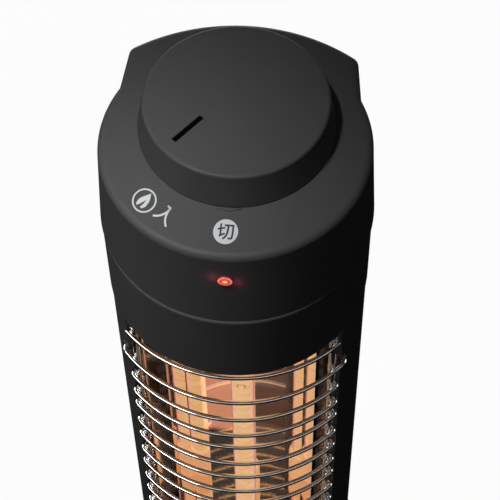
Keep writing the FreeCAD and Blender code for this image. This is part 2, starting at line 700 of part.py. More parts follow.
def pointer_groove(top):
    """Sunk straight line on the dial's top face."""
    groove = box(POINTER_SIDE - POINTER_WIDTH / 2, POINTER_SIDE + POINTER_WIDTH / 2,
                 -POINTER_START - POINTER_LENGTH, -POINTER_START, top - POINTER_DEPTH, top + OVERRUN)
    groove.rotate(Vector(0, 0, 0), UP, POINTER_ANGLE_DEG)
    groove.translate(Vector(0, KNOB_Y, 0))
    return groove


def shaft_top():
    return SWITCH_LOW_Z + SWITCH_DEPTH / 2 + SHAFT_LENGTH


def shaft_section(radius, flat_gap, z0, z1):
    """Round shaft with its flat, between two heights."""
    whole = upright(radius, z0, z1, 0, KNOB_Y)
    flat_y = KNOB_Y + SHAFT_RADIUS - SHAFT_FLAT_DEPTH + flat_gap
    return whole.cut(box(-FAR, FAR, flat_y, FAR, z0, z1))


def switch_shaft():
    """Switch shaft: round where it runs in the neck, flatted where the dial grips it."""
    top = shaft_top()
    shoulder = top - SHAFT_FLAT_LENGTH
    low = SWITCH_LOW_Z + SWITCH_DEPTH / 2
    round_part = upright(SHAFT_RADIUS, low, shoulder, 0, KNOB_Y)
    return round_part.fuse(shaft_section(SHAFT_RADIUS, 0, shoulder, top))


def rotary_switch():
    """Switch body hung under the head's ceiling, with its threaded neck and solder tabs."""
    half = SWITCH_SIDE / 2
    body = box(-half, half, KNOB_Y - half, KNOB_Y + half, SWITCH_LOW_Z, HEAD_CEILING_Z)
    body = body.makeChamfer(WALL, edges_along(body, UP))
    body = body.fuse(upright(NECK_RADIUS, HEAD_CEILING_Z, TOP_FACE_HEIGHT + NECK_RISE, 0, KNOB_Y))
    back, front = KNOB_Y + half, KNOB_Y - half
    for x in (-TAB_SPACING / 2, TAB_SPACING / 2):
        body = body.fuse(solder_tab(x, TAB_WIDTH, back, back + TAB_LENGTH, tab_z()))
    for x in (-LED_TAB_SPACING / 2, LED_TAB_SPACING / 2):
        body = body.fuse(solder_tab(x, LED_TAB_WIDTH, front - TAB_LENGTH, front, tab_z()))
    bore_low = SWITCH_LOW_Z + SWITCH_DEPTH / 2 - SEAM_GAP
    bore_top = TOP_FACE_HEIGHT + NECK_RISE
    return body.cut(upright(SHAFT_RADIUS + RUNNING_GAP, bore_low, bore_top, 0, KNOB_Y))


def tab_z():
    return SWITCH_LOW_Z + SWITCH_DEPTH / 3


def solder_tab(x, width, y0, y1, z):
    return box(x - width / 2, x + width / 2, y0, y1, z - TAB_THICKNESS / 2, z + TAB_THICKNESS / 2)


def switch_nut():
    """Hexagon nut that holds the switch to the head."""
    corner_radius = NUT_ACROSS_FLATS / math.sqrt(3)
    corners = [around(60.0 * i, corner_radius, KNOB_Y) for i in range(6)]
    nut = prism([(p.x, p.y) for p in corners], TOP_FACE_HEIGHT, TOP_FACE_HEIGHT + NUT_HEIGHT)
    bore = upright(NECK_RADIUS + RUNNING_GAP, TOP_FACE_HEIGHT, TOP_FACE_HEIGHT + NUT_HEIGHT, 0, KNOB_Y)
    return nut.cut(bore)


def wire_heights():
    """Heights of the guard's wires, from the top; the second and the last but one carry hooks."""
    first = WINDOW_TOP_Z - GUARD_INSET
    last = WINDOW_LOW_Z + GUARD_INSET
    upper, lower = first - HOOK_STEP, last + HOOK_STEP
    step = (upper - lower) / sum(WIRE_STEP_SHARES)
    between = [upper]
    for share in WIRE_STEP_SHARES:
        between.append(between[-1] - share * step)
    return [first] + between + [last]


def hook_heights():
    heights = wire_heights()
    return (heights[1], heights[-2])


def bent_wire(centre, radius, start_deg, turn_deg, z):
    """Round wire bent to an arc about an upright line."""
    start = around(start_deg, radius, centre.y, z, centre.x)
    along = around(start_deg + 90, 1)
    face = Part.Face(Part.Wire(Part.makeCircle(WIRE_RADIUS, start, along)))
    return face.revolve(Vector(centre.x, centre.y, z), UP, turn_deg)


def guard_wire(z, end_angle_deg, bend_radius, bend_deg):
    """One wire of the guard: a long arc, and at both ends a tighter bend to the rear."""
    middle = Vector(0, GUARD_CENTRE_Y, 0)
    wire = bent_wire(middle, GUARD_RADIUS, -end_angle_deg, 2 * end_angle_deg, z)
    if bend_deg:
        bend_centre = around(end_angle_deg, GUARD_RADIUS - bend_radius, GUARD_CENTRE_Y)
        bend = bent_wire(bend_centre, bend_radius, end_angle_deg, bend_deg, z)
        wire = wire.fuse(both_sides(bend)).removeSplitter()
    return wire


def guard_wires():
    """All wires: plain ends at top and bottom, hooks next to them, the rest wrapped on the rods."""
    heights = wire_heights()
    wires = []
    for z in heights:
        if z in (heights[0], heights[-1]):
            wires.append(guard_wire(z, PLAIN_END_ANGLE_DEG, 0, 0))
        elif z in hook_heights():
            wires.append(guard_wire(z, HOOK_ANGLE_DEG, HOOK_RADIUS, HOOK_TURN_DEG))
        else:
            wires.append(guard_wire(z, ROD_ANGLE_DEG, WRAP_RADIUS, WRAP_TURN_DEG))
    return wires


def guard_rods():
    """Two upright rods with round ends, just behind the wires."""
    p = around(ROD_ANGLE_DEG, GUARD_RADIUS - WRAP_RADIUS, GUARD_CENTRE_Y)
    z0 = WINDOW_LOW_Z + ROD_END_GAP
    z1 = WINDOW_TOP_Z - ROD_END_GAP
    bar = upright(ROD_RADIUS, z0 + ROD_RADIUS, z1 - ROD_RADIUS, p.x, p.y)
    for z in (z0 + ROD_RADIUS, z1 - ROD_RADIUS):
        bar = bar.fuse(Part.makeSphere(ROD_RADIUS, Vector(p.x, p.y, z)))
    return both_sides(bar.removeSplitter())


def trough_half():
    """Folds of the reflector's bright face on the +X side, from the flange to the back."""
    edge = around(FLANGE_ANGLE_DEG, INNER_RADIUS - FLANGE_GAP)
    return [(edge.x, edge.y), (edge.x - FLANGE_WIDTH, edge.y), (WAIST_HALF_WIDTH, WAIST_Y),
            (SHOULDER_HALF_WIDTH, SHOULDER_Y), (BACK_HALF_WIDTH, BACK_Y)]


def trough_points():
    half = trough_half()
    return half + [(0, BACK_FOLD_Y)] + [(-x, y) for x, y in reversed(half)]


def outside_of(points):
    """The same folds moved out to the sheet's dull face."""
    moved = []
    for i, (x, y) in enumerate(points):
        before = points[max(i - 1, 0)]
        after = points[min(i + 1, len(points) - 1)]
        normals = []
        for a, b in ((before, (x, y)), ((x, y), after)):
            run = Vector(b[0] - a[0], b[1] - a[1], 0)
            if run.Length > 0:
                normals.append(Vector(run.y, -run.x, 0).normalize())
        miter = (normals[0] + normals[-1]).normalize()
        reach = SHEET / miter.dot(normals[0])
        moved.append((x + miter.x * reach, y + miter.y * reach))
    return moved


def reflector():
    """Polished sheet folded into a trough behind the lamp."""
    bright = trough_points()
    return prism(bright + outside_of(bright)[::-1], REFLECTOR_LOW_Z, REFLECTOR_TOP_Z)


def end_plate(z0):
    """Sheet plate across an end of the reflector, with the lamp's hole and two screw holes."""
    z1 = z0 + SHEET
    folds = outside_of(trough_points())[1:-1]
    side = folds[0][0]
    plate = prism([(side, -FAR)] + folds + [(-side, -FAR)], z0, z1)
    plate = plate.common(upright(INNER_RADIUS - PLATE_EDGE_GAP, z0, z1))
    plate = plate.cut(upright(CAP_RADIUS + FIT_GAP, z0, z1, 0, LAMP_Y))
    for p in post_places():
        plate = plate.cut(upright(SCREW_HOLE_RADIUS, z0, z1, p.x, p.y))
    return plate


def cap_ends():
    """Outer and inner end heights of the upper and the lower ceramic cap."""
    upper = UPPER_PLATE_TOP_Z + CAP_OUTSIDE
    lower = LOWER_PLATE_LOW_Z - CAP_OUTSIDE
    return ((upper, upper - CAP_LENGTH), (lower, lower + CAP_LENGTH))


def lamp_cap(outer_z, inner_z, groove_z0, groove_z1):
    """Ceramic end: a grooved round body with a socket for the tube and a bore for the pin."""
    sign = 1 if inner_z > outer_z else -1
    body = upright(CAP_RADIUS, outer_z, inner_z, 0, LAMP_Y)
    body = body.makeChamfer(TUBE_WALL, edges_at(body, inner_z))
    groove = upright(CAP_RADIUS + OVERRUN, groove_z0, groove_z1, 0, LAMP_Y)
    groove = groove.cut(upright(CAP_RADIUS - GROOVE_DEPTH, groove_z0, groove_z1, 0, LAMP_Y))
    socket = upright(TUBE_RADIUS + FIT_GAP / 2, inner_z - sign * CAP_SOCKET, inner_z, 0, LAMP_Y)
    bore = upright(CAP_BORE_RADIUS, outer_z, inner_z, 0, LAMP_Y)
    return body.cut(groove).cut(socket).cut(bore)


def lamp_clip(z0):
    """Spring plate pushed into the cap's groove from the rear."""
    z1 = z0 + CLIP_THICKNESS
    slot_half = CAP_RADIUS - GROOVE_DEPTH + FIT_GAP
    plate = upright(CLIP_RADIUS, z0, z1, 0, LAMP_Y)
    slot = upright(slot_half, z0, z1, 0, LAMP_Y)
    slot = slot.fuse(box(-slot_half, slot_half, LAMP_Y - FAR, LAMP_Y, z0, z1))
    return plate.cut(slot)


def tube_ends():
    (_, upper_inner), (_, lower_inner) = cap_ends()
    return lower_inner - CAP_SOCKET, upper_inner + CAP_SOCKET


def lamp_tube():
    """Quartz tube with the sealed exhaust tip on its front."""
    z0, z1 = tube_ends()
    tip_z = TOP_FACE_HEIGHT - TIP_DROP
    tip_root = Vector(0, LAMP_Y - TUBE_RADIUS + TUBE_WALL, tip_z)
    tip = Part.makeCone(TIP_RADIUS, TIP_RADIUS / 3, TIP_REACH + TUBE_WALL, tip_root, FORWARD)
    tip_end = tip_root + FORWARD * (TIP_REACH + TUBE_WALL)
    tip = tip.fuse(Part.makeSphere(TIP_RADIUS / 3, tip_end))
    tube = upright(TUBE_RADIUS, z0, z1, 0, LAMP_Y).fuse(tip)
    return tube.cut(upright(TUBE_RADIUS - TUBE_WALL, z0, z1, 0, LAMP_Y))


def filament():
    """Wound tungsten coil as a slim bar, with the spacer discs that centre it in the tube."""
    z0, z1 = tube_ends()
    coil = upright(FILAMENT_RADIUS, z0, z1, 0, LAMP_Y)
    disc_radius = TUBE_RADIUS - TUBE_WALL - FIT_GAP
    step = (z1 - z0) / (SPACER_COUNT + 1)
    for i in range(SPACER_COUNT):
        z = z0 + (i + 1) * step
        half = SPACER_THICKNESS / 2
        coil = coil.fuse(upright(disc_radius, z - half, z + half, 0, LAMP_Y))
    return coil


def lamp_pins():
    """Lead-outs of the lamp, one through each ceramic cap, butted on the filament's ends."""
    z0, z1 = tube_ends()
    (upper_outer, _), (lower_outer, _) = cap_ends()
    upper = upright(PIN_RADIUS, z1, upper_outer + PIN_OUTSIDE, 0, LAMP_Y)
    lower = upright(PIN_RADIUS, lower_outer - PIN_OUTSIDE, z0, 0, LAMP_Y)
    return [upper, lower]


def fuse_axis_z():
    return UPPER_PLATE_TOP_Z + FUSE_RADIUS + FIT_GAP


def thermal_fuse():
    """Over-temperature fuse lying along the upper end plate, with its two wire ends."""
    half = FUSE_LENGTH / 2
    middle = Vector(FUSE_X, 0, fuse_axis_z())
    body = rod(FUSE_RADIUS, middle - REARWARD * half, middle + REARWARD * half)
    body = body.makeChamfer(FUSE_RADIUS / 4, [e for e in body.Edges if e.Closed])
    reach = half + FUSE_LEAD
    return body.fuse(rod(FUSE_LEAD_RADIUS, middle - REARWARD * reach, middle + REARWARD * reach))


def fuse_clip():
    """Saddle strap that holds the thermal fuse to the plate."""
    half = FUSE_CLIP_LENGTH / 2
    outer = FUSE_RADIUS + FIT_GAP + FUSE_CLIP_WALL
    middle = Vector(FUSE_X, 0, fuse_axis_z())
    strap = rod(outer, middle - REARWARD * half, middle + REARWARD * half)
    legs = box(FUSE_X - outer, FUSE_X + outer, -half, half, UPPER_PLATE_TOP_Z, fuse_axis_z())
    foot_half = outer + FUSE_CLIP_FOOT
    feet = box(FUSE_X - foot_half, FUSE_X + foot_half, -half, half,
               UPPER_PLATE_TOP_Z, UPPER_PLATE_TOP_Z + FUSE_CLIP_WALL)
    room = rod(FUSE_RADIUS + FIT_GAP, middle - REARWARD * half, middle + REARWARD * half)
    floor = box(FUSE_X - outer, FUSE_X + outer, -half, half, UPPER_PLATE_TOP_Z - outer, UPPER_PLATE_TOP_Z)
    under = box(FUSE_X - FUSE_RADIUS - FIT_GAP, FUSE_X + FUSE_RADIUS + FIT_GAP, -half, half,
                UPPER_PLATE_TOP_Z - outer, fuse_axis_z())
    return strap.fuse([legs, feet]).cut(room).cut(floor).cut(under).removeSplitter()


def dome_profile(inset):
    """Half outline of the foot's shell, taken in by inset: rim, crown and flat top."""
    rim = BASE_RADIUS - inset
    top = BASE_TOP_HEIGHT - inset
    slope = Vector(BASE_RADIUS - BASE_FLAT_RADIUS, 0, BASE_EDGE_HEIGHT - BASE_TOP_HEIGHT)
    inward = Vector(slope.z, 0, -slope.x).normalize() * inset
    corner = Vector(rim, 0, BASE_RIM_LIFT)
    shoulder = Vector(rim, 0, BASE_EDGE_HEIGHT - inset / 2)
    crown = Vector(BASE_CROWN_RADIUS, 0, BASE_CROWN_HEIGHT) + inward
    flat = Vector(BASE_FLAT_RADIUS - inset / 2, 0, top)
    axis_low, axis_top = Vector(0, 0, BASE_RIM_LIFT), Vector(0, 0, top)
    edges = [Part.LineSegment(axis_low, corner), Part.LineSegment(corner, shoulder),
             Part.Arc(shoulder, crown, flat), Part.LineSegment(flat, axis_top),
             Part.LineSegment(axis_top, axis_low)]
    return Part.Face(Part.Wire([e.toShape() for e in edges]))


def dome(inset):
    return dome_profile(inset).revolve(Vector(0, 0, 0), UP, 360)


def base_screw_places():
    turn = 360.0 / BASE_SCREW_COUNT
    return [around(i * turn, BASE_SCREW_CIRCLE_RADIUS) for i in range(BASE_SCREW_COUNT)]


def lead_hole_places():
    y = BLOCK_Y - BLOCK_DEPTH / 2 - LEAD_STANDOFF / 2
    return [Vector(x, y, 0) for x in (TAB_SPACING / 2, -TAB_SPACING / 2)]


def base_shell():
    """Domed foot: hollow below, with a spigot and posts for the column and bosses for its plate."""
    outer = dome(0)
    shell = outer.cut(dome(BASE_WALL))
    root = BASE_CEILING_Z + BASE_WALL / 2
    spigot = column_ring(LIP_GROW, LIP_GROW - SPIGOT_WALL, root, BASE_TOP_HEIGHT + SPIGOT_HEIGHT)
    shell = shell.fuse(spigot)
    for p in post_places():
        shell = shell.fuse(upright(POST_RADIUS, root, LOWER_LEDGE_LOW_Z, p.x, p.y))
    for p in base_screw_places():
        boss = upright(BASE_BOSS_RADIUS, PLATE_TOP_Z, BASE_TOP_HEIGHT, p.x, p.y)
        shell = shell.fuse(boss.common(outer))
    pilot_low = LOWER_LEDGE_LOW_Z - SCREW_LENGTH
    for p in post_places():
        shell = shell.cut(upright(PILOT_RADIUS, pilot_low, LOWER_LEDGE_LOW_Z, p.x, p.y))
    for p in base_screw_places():
        shell = shell.cut(upright(PILOT_RADIUS, PLATE_TOP_Z, PLATE_TOP_Z + SCREW_LENGTH, p.x, p.y))
    for p in lead_hole_places():
        shell = shell.cut(upright(LEAD_HOLE_RADIUS, 0, BASE_TOP_HEIGHT + OVERRUN, p.x, p.y))
    return shell.removeSplitter()


def base_plate():
    """Steel plate that closes the foot from below."""
    plate = upright(PLATE_RADIUS, FOOT_HEIGHT, PLATE_TOP_Z)
    plate = plate.cut(upright(PLUNGER_RADIUS + PLUNGER_GAP, 0, BASE_TOP_HEIGHT, 0, TIP_SWITCH_Y))
    for p in base_screw_places():
        plate = plate.cut(upright(SCREW_HOLE_RADIUS, 0, BASE_TOP_HEIGHT, p.x, p.y))
    return plate


def rubber_feet():
    """Round feet with a slight draft, stuck under the plate."""
    feet = []
    for i in range(FOOT_COUNT):
        p = around(360.0 * (i + 0.5) / FOOT_COUNT, FOOT_CIRCLE_RADIUS)
        feet.append(Part.makeCone(FOOT_RADIUS - FOOT_DRAFT, FOOT_RADIUS, FOOT_HEIGHT, Vector(p.x, p.y, 0)))
    return feet


def tip_switch_housing():
    """Guide for the plunger on the foot's plate, with two cheeks that hold the small switch."""
    bore_radius = COLLAR_RADIUS + PLUNGER_GAP
    body = upright(bore_radius + HOUSING_WALL, PLATE_TOP_Z, HOUSING_TOP_Z, 0, TIP_SWITCH_Y)
    flange_top = PLATE_TOP_Z + HOUSING_FLANGE
    body = body.fuse(upright(HOUSING_FLANGE_RADIUS, PLATE_TOP_Z, flange_top, 0, TIP_SWITCH_Y))
    inner = MICRO_WIDTH / 2 + FIT_GAP
    for y0 in (TIP_SWITCH_Y + inner, TIP_SWITCH_Y - inner - CHEEK_WALL):
        body = body.fuse(box(-CHEEK_WIDTH / 2, CHEEK_WIDTH / 2, y0, y0 + CHEEK_WALL,
                             SPRING_TOP_Z, BASE_CEILING_Z - FIT_GAP))
    body = body.cut(upright(bore_radius, PLATE_TOP_Z, SPRING_TOP_Z, 0, TIP_SWITCH_Y))
    return body.cut(upright(PLUNGER_PIN_RADIUS + PLUNGER_GAP, SPRING_TOP_Z, HOUSING_TOP_Z, 0, TIP_SWITCH_Y))


def micro_switch():
    """Small snap switch with its button down and two tabs to the rear."""
    z1 = BASE_CEILING_Z - FIT_GAP
    front, back = TIP_SWITCH_Y - MICRO_WIDTH / 2, TIP_SWITCH_Y + MICRO_WIDTH / 2
    body = box(-MICRO_LENGTH / 2, MICRO_LENGTH / 2, front, back, MICRO_LOW_Z, z1)
    button_low = MICRO_LOW_Z - MICRO_BUTTON
    body = body.fuse(upright(MICRO_BUTTON_RADIUS, button_low, MICRO_LOW_Z, 0, TIP_SWITCH_Y))
    for x in (-TAB_SPACING / 2, TAB_SPACING / 2):
        body = body.fuse(solder_tab(x, TAB_WIDTH, back, back + TAB_LENGTH, MICRO_MIDDLE_Z))
    return body


def tip_plunger():
    """Plunger that stands on the floor: foot, stop collar and the pin that works the switch."""
    foot = upright(PLUNGER_RADIUS, 0, COLLAR_LOW_Z, 0, TIP_SWITCH_Y)
    foot = foot.makeFillet(PLUNGER_EDGE_RADIUS, edges_at(foot, 0))
    collar = upright(COLLAR_RADIUS, COLLAR_LOW_Z, COLLAR_TOP_Z, 0, TIP_SWITCH_Y)
    pin = upright(PLUNGER_PIN_RADIUS, COLLAR_TOP_Z, HOUSING_TOP_Z, 0, TIP_SWITCH_Y)
    return foot.fuse([collar, pin]).removeSplitter()


def arc_pair(start, start_along, end, end_along):
    """Two arcs that leave one point and reach another along given directions."""
    chord = end - start
    both = start_along + end_along
    spread = 2 * (1 - start_along.dot(end_along))
    lean = chord.dot(both)
    reach = (math.sqrt(lean ** 2 + spread * chord.dot(chord)) - lean) / spread
    knees = (start + start_along * reach, end - end_along * reach)
    joint = (knees[0] + knees[1]) * 0.5
    arcs = []
    for a, knee, b in ((start, knees[0], joint), (joint, knees[1], end)):
        middle = (a + b) * 0.5
        half = (b - a).Length / 2
        height = (knee - middle).Length
        rise = half * math.tan(math.atan2(height, half) / 2)
        arcs.append(Part.Arc(a, middle + (knee - middle) * (rise / height), b).toShape())
    return arcs


def plunger_spring():
    """Coil spring between the plunger's collar and the housing's roof."""
    radius = (PLUNGER_PIN_RADIUS + COLLAR_RADIUS) / 2
    z0 = COLLAR_TOP_Z + SPRING_WIRE_RADIUS + PLUNGER_GAP
    z1 = SPRING_TOP_Z - SPRING_WIRE_RADIUS - PLUNGER_GAP
    count = SPRING_TURNS * TURN_ARC_PAIRS
    climb = (z1 - z0) / (2 * math.pi * SPRING_TURNS)
    stations = []
    for i in range(count + 1):
        turn = 2 * math.pi * i / TURN_ARC_PAIRS
        point = Vector(radius * math.cos(turn), TIP_SWITCH_Y + radius * math.sin(turn), z0 + climb * turn)
        along = Vector(-radius * math.sin(turn), radius * math.cos(turn), climb).normalize()
        stations.append((point, along))
    arcs = []
    for (start, start_along), (end, end_along) in zip(stations, stations[1:]):
        arcs += arc_pair(start, start_along, end, end_along)
    section = Part.Wire(Part.makeCircle(SPRING_WIRE_RADIUS, *stations[0]))
    return Part.Wire(arcs).makePipeShell([section], True)


def block_hole_xs():
    return (-TAB_SPACING / 2, 0, TAB_SPACING / 2)


def block_z():
    return BASE_TOP_HEIGHT + BLOCK_HEIGHT / 2


def terminal_block():
    """Three-way block on the foot's top, with wire holes through it and screw wells above."""
    y0, y1 = BLOCK_Y - BLOCK_DEPTH / 2, BLOCK_Y + BLOCK_DEPTH / 2
    block = box(-BLOCK_WIDTH / 2, BLOCK_WIDTH / 2, y0, y1, BASE_TOP_HEIGHT, BASE_TOP_HEIGHT + BLOCK_HEIGHT)
    for x in block_hole_xs():
        block = block.cut(rod(BLOCK_HOLE_RADIUS, Vector(x, y0, block_z()), Vector(x, y1, block_z())))
        block = block.cut(upright(BLOCK_HOLE_RADIUS, block_z(), BASE_TOP_HEIGHT + BLOCK_HEIGHT, x, BLOCK_Y))
    return block


def lead(points, radius=LEAD_RADIUS):
    """Insulated wire along straight runs joined by tangent bends."""
    edges = []
    start = points[0]
    for before, corner, after in zip(points, points[1:], points[2:]):
        back = (before - corner).normalize()
        on = (after - corner).normalize()
        half_turn = (math.pi - back.getAngle(on)) / 2
        reach = LEAD_BEND * math.tan(half_turn)
        middle = (back + on).normalize()
        depth = LEAD_BEND / math.cos(half_turn) - LEAD_BEND
        edges.append(Part.LineSegment(start, corner + back * reach))
        edges.append(Part.Arc(corner + back * reach, corner + middle * depth, corner + on * reach))
        start = corner + on * reach
    edges.append(Part.LineSegment(start, points[-1]))
    path = Part.Wire([e.toShape() for e in edges])
    section = Part.Wire(Part.makeCircle(radius, points[0], points[1] - points[0]))
    return path.makePipeShell([section], True, False)


def inner_leads():
    """Wiring: block to tip switch, tip switch to dial switch, on to the fuse, the lamp and back."""
    x = TAB_SPACING / 2
    hole_y = lead_hole_places()[0].y
    block_y = BLOCK_Y - BLOCK_DEPTH / 2 + BLOCK_ENTRY
    micro_y = TIP_SWITCH_Y + MICRO_WIDTH / 2 + TAB_LENGTH + LEAD_END_GAP
    switch_y = KNOB_Y + SWITCH_SIDE / 2 + TAB_LENGTH + LEAD_END_GAP
    run_y = max(hole_y, switch_y + LEAD_STANDOFF)
    fuse_z = fuse_axis_z()
    fuse_reach = FUSE_LENGTH / 2 + FUSE_LEAD + LEAD_END_GAP
    over_z = fuse_z + 3 * LEAD_STANDOFF
    (upper_outer, _), (lower_outer, _) = cap_ends()
    pin_top = upper_outer + PIN_OUTSIDE + LEAD_END_GAP
    pin_low = lower_outer - PIN_OUTSIDE - LEAD_END_GAP
    to_tip = lead([Vector(-x, block_y, block_z()), Vector(-x, hole_y, block_z()),
                   Vector(-x, hole_y, MICRO_MIDDLE_Z), Vector(-x, micro_y, MICRO_MIDDLE_Z)])
    to_dial = lead([Vector(x, micro_y, MICRO_MIDDLE_Z), Vector(x, hole_y, MICRO_MIDDLE_Z),
                    Vector(x, hole_y, REFLECTOR_TOP_Z), Vector(x, run_y, COLUMN_TOP_Z),
                    Vector(x, run_y, tab_z()), Vector(x, switch_y, tab_z())])
    to_fuse = lead([Vector(-x, switch_y, tab_z()), Vector(-x, run_y, tab_z()),
                    Vector(FUSE_X, run_y, COLUMN_TOP_Z), Vector(FUSE_X, run_y, fuse_z),
                    Vector(FUSE_X, fuse_reach, fuse_z)])
    front_y = -fuse_reach - LEAD_STANDOFF
    to_lamp = lead([Vector(FUSE_X, -fuse_reach, fuse_z), Vector(FUSE_X, front_y, fuse_z),
                    Vector(FUSE_X, front_y, over_z), Vector(0, LAMP_Y, over_z),
                    Vector(0, LAMP_Y, pin_top)])
    to_block = lead([Vector(0, LAMP_Y, pin_low), Vector(0, LAMP_Y, block_z()),
                     Vector(0, block_y, block_z())])
    leads = [to_tip, to_dial, to_fuse, to_lamp, to_block]
    board_back = board_front_y() + BOARD_THICKNESS + LEAD_END_GAP
    dial_front = KNOB_Y - SWITCH_SIDE / 2 - TAB_LENGTH - LEAD_END_GAP
    for side in (LED_TAB_SPACING / 2, -LED_TAB_SPACING / 2):
        leads.append(lead([Vector(side, board_back, LED_Z),
                           Vector(side, board_back + LEAD_STANDOFF, LED_Z),
                           Vector(side, dial_front - LEAD_STANDOFF, tab_z()),
                           Vector(side, dial_front, tab_z())], LED_LEAD_RADIUS))
    return leads


def frame_screws():
    """Screws through the end plates and ledges into the head's and the foot's posts."""
    length = SHEET + LEDGE_THICKNESS + SCREW_LENGTH - OVERRUN
    screws = []
    for p in post_places():
        screws.append(place(screw(length), Vector(p.x, p.y, REFLECTOR_TOP_Z), UP))
        screws.append(place(screw(length), Vector(p.x, p.y, REFLECTOR_LOW_Z), DOWN))
    return screws


def cover_screws():
    """Screws of the rear cover, at the bottom of their wells."""
    seat_y = SPLIT_Y + SCREW_LENGTH - COVER_SCREW_BITE + LAP_DEPTH
    length = seat_y - SPLIT_Y + COVER_SCREW_BITE
    return [place(screw(length), Vector(side * COVER_SCREW_X, seat_y, z), FORWARD)
            for z in cover_screw_heights() for side in (1, -1)]


def base_screws():
    return [place(screw(SCREW_LENGTH), Vector(p.x, p.y, FOOT_HEIGHT), UP) for p in base_screw_places()]


def build():
    (upper_outer, upper_inner), (lower_outer, lower_inner) = cap_ends()
    clip_top = UPPER_PLATE_TOP_Z + CLIP_THICKNESS
    clip_low = LOWER_PLATE_LOW_Z - CLIP_THICKNESS
    export("dial_knob", dial_knob())
    export("switch_shaft", switch_shaft())
    export("rotary_switch", rotary_switch())
    export("switch_nut", switch_nut())
    export("head_cap", head_cap())
    export("led_lens", led_lens())
    export("led_lamp", led_lamp())
    export("front_shell", front_shell())
    export("rear_cover", rear_cover())
    export("cord_bush", cord_bush())
    export("guard_wires", *guard_wires())
    export("guard_rods", *guard_rods())
    export("reflector", reflector())
    export("upper_end_plate", end_plate(REFLECTOR_TOP_Z))
    export("lower_end_plate", end_plate(LOWER_PLATE_LOW_Z))
    export("lamp_tube", lamp_tube())
    export("filament", filament())
    export("lamp_pins", *lamp_pins())
    export("upper_lamp_cap", lamp_cap(upper_outer, upper_inner, UPPER_PLATE_TOP_Z, clip_top + FIT_GAP))
    export("lower_lamp_cap", lamp_cap(lower_outer, lower_inner, clip_low - FIT_GAP, LOWER_PLATE_LOW_Z))
    export("upper_lamp_clip", lamp_clip(UPPER_PLATE_TOP_Z))
    export("lower_lamp_clip", lamp_clip(clip_low))
    export("thermal_fuse", thermal_fuse())
    export("fuse_clip", fuse_clip())
    export("base_shell", base_shell())
    export("base_plate", base_plate())
    export("rubber_feet", *rubber_feet())
    export("tip_switch_housing", tip_switch_housing())
    export("micro_switch", micro_switch())
    export("tip_plunger", tip_plunger())
    export("plunger_spring", plunger_spring())
    export("terminal_block", terminal_block())
    export("inner_leads", *inner_leads())
    export("frame_screws", *frame_screws())
    export("cover_screws", *cover_screws())
    export("base_screws", *base_screws())


os.makedirs("parts", exist_ok=True)
build()
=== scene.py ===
import math
import bpy
from mathutils import Matrix, Vector


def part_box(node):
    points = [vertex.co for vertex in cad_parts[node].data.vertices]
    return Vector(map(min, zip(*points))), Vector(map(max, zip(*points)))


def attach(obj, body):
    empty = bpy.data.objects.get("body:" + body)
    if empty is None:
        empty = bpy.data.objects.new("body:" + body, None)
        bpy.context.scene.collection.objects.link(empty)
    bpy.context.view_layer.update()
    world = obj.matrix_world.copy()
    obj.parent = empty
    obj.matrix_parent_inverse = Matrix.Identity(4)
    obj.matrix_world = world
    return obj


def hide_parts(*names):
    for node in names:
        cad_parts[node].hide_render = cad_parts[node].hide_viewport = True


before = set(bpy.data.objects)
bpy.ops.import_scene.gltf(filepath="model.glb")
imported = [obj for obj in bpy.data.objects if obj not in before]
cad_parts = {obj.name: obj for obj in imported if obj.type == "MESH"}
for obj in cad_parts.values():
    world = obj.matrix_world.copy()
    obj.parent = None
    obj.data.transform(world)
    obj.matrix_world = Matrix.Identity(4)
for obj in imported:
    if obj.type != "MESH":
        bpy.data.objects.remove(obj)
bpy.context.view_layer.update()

# Halogen tower heater, dressed for its portrait.
# Lengths are in metres, angles in degrees, powers in watts and colours in linear light.

# Camera, high in front of the heater and looking down on the dial
CAMERA_PLACE = Vector((0.0380, -0.3705, 0.9403))
CAMERA_AZIMUTH = 5.169
CAMERA_PITCH = 57.746
CAMERA_ROLL = -1.191
CAMERA_LENS = 131.03
SENSOR_WIDTH = 36.0

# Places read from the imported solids
RING_FACE_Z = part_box("switch_nut")[0].z
KNOB_LOW, KNOB_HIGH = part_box("dial_knob")
DIAL_CENTRE = Vector(((KNOB_LOW.x + KNOB_HIGH.x) / 2, (KNOB_LOW.y + KNOB_HIGH.y) / 2, 0))
DIAL_FACE_Z = KNOB_HIGH.z
TUBE_LOW, TUBE_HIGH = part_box("lamp_tube")
TUBE_RADIUS = (TUBE_HIGH.x - TUBE_LOW.x) / 2
LAMP_AXIS = Vector((0, TUBE_HIGH.y - TUBE_RADIUS, 0))

# Printed marks on the ring face
MARK_CIRCLE = 0.0450
MARK_LIFT = 0.00004
MARK_STRETCH = 1.19
MARK_TILT = -37.5
FLAME_ANGLE = -40.7
ON_ANGLE = -28.7
OFF_ANGLE = -0.5
DISC_RADIUS = 0.00425
RIM_WIDTH = 0.00056
ON_SIZE = 0.0061
ON_STROKE = 0.00068
OFF_HEIGHT = 0.0060
OFF_BOLD = 0.00009
FLAME_SHARE = 0.80
LETTER_LAYER = 2.0
ROUND_POINTS = 64
CURVE_POINTS = 10

# Pointer line, sunk in the dial's face
POINTER_ANGLE = -39.4
POINTER_START = 0.0134
POINTER_LENGTH = 0.0139
POINTER_SIDE = -0.0035
POINTER_WIDTH = 0.0020
POINTER_DEPTH = 0.0007
INLAY_RISE = 0.0005

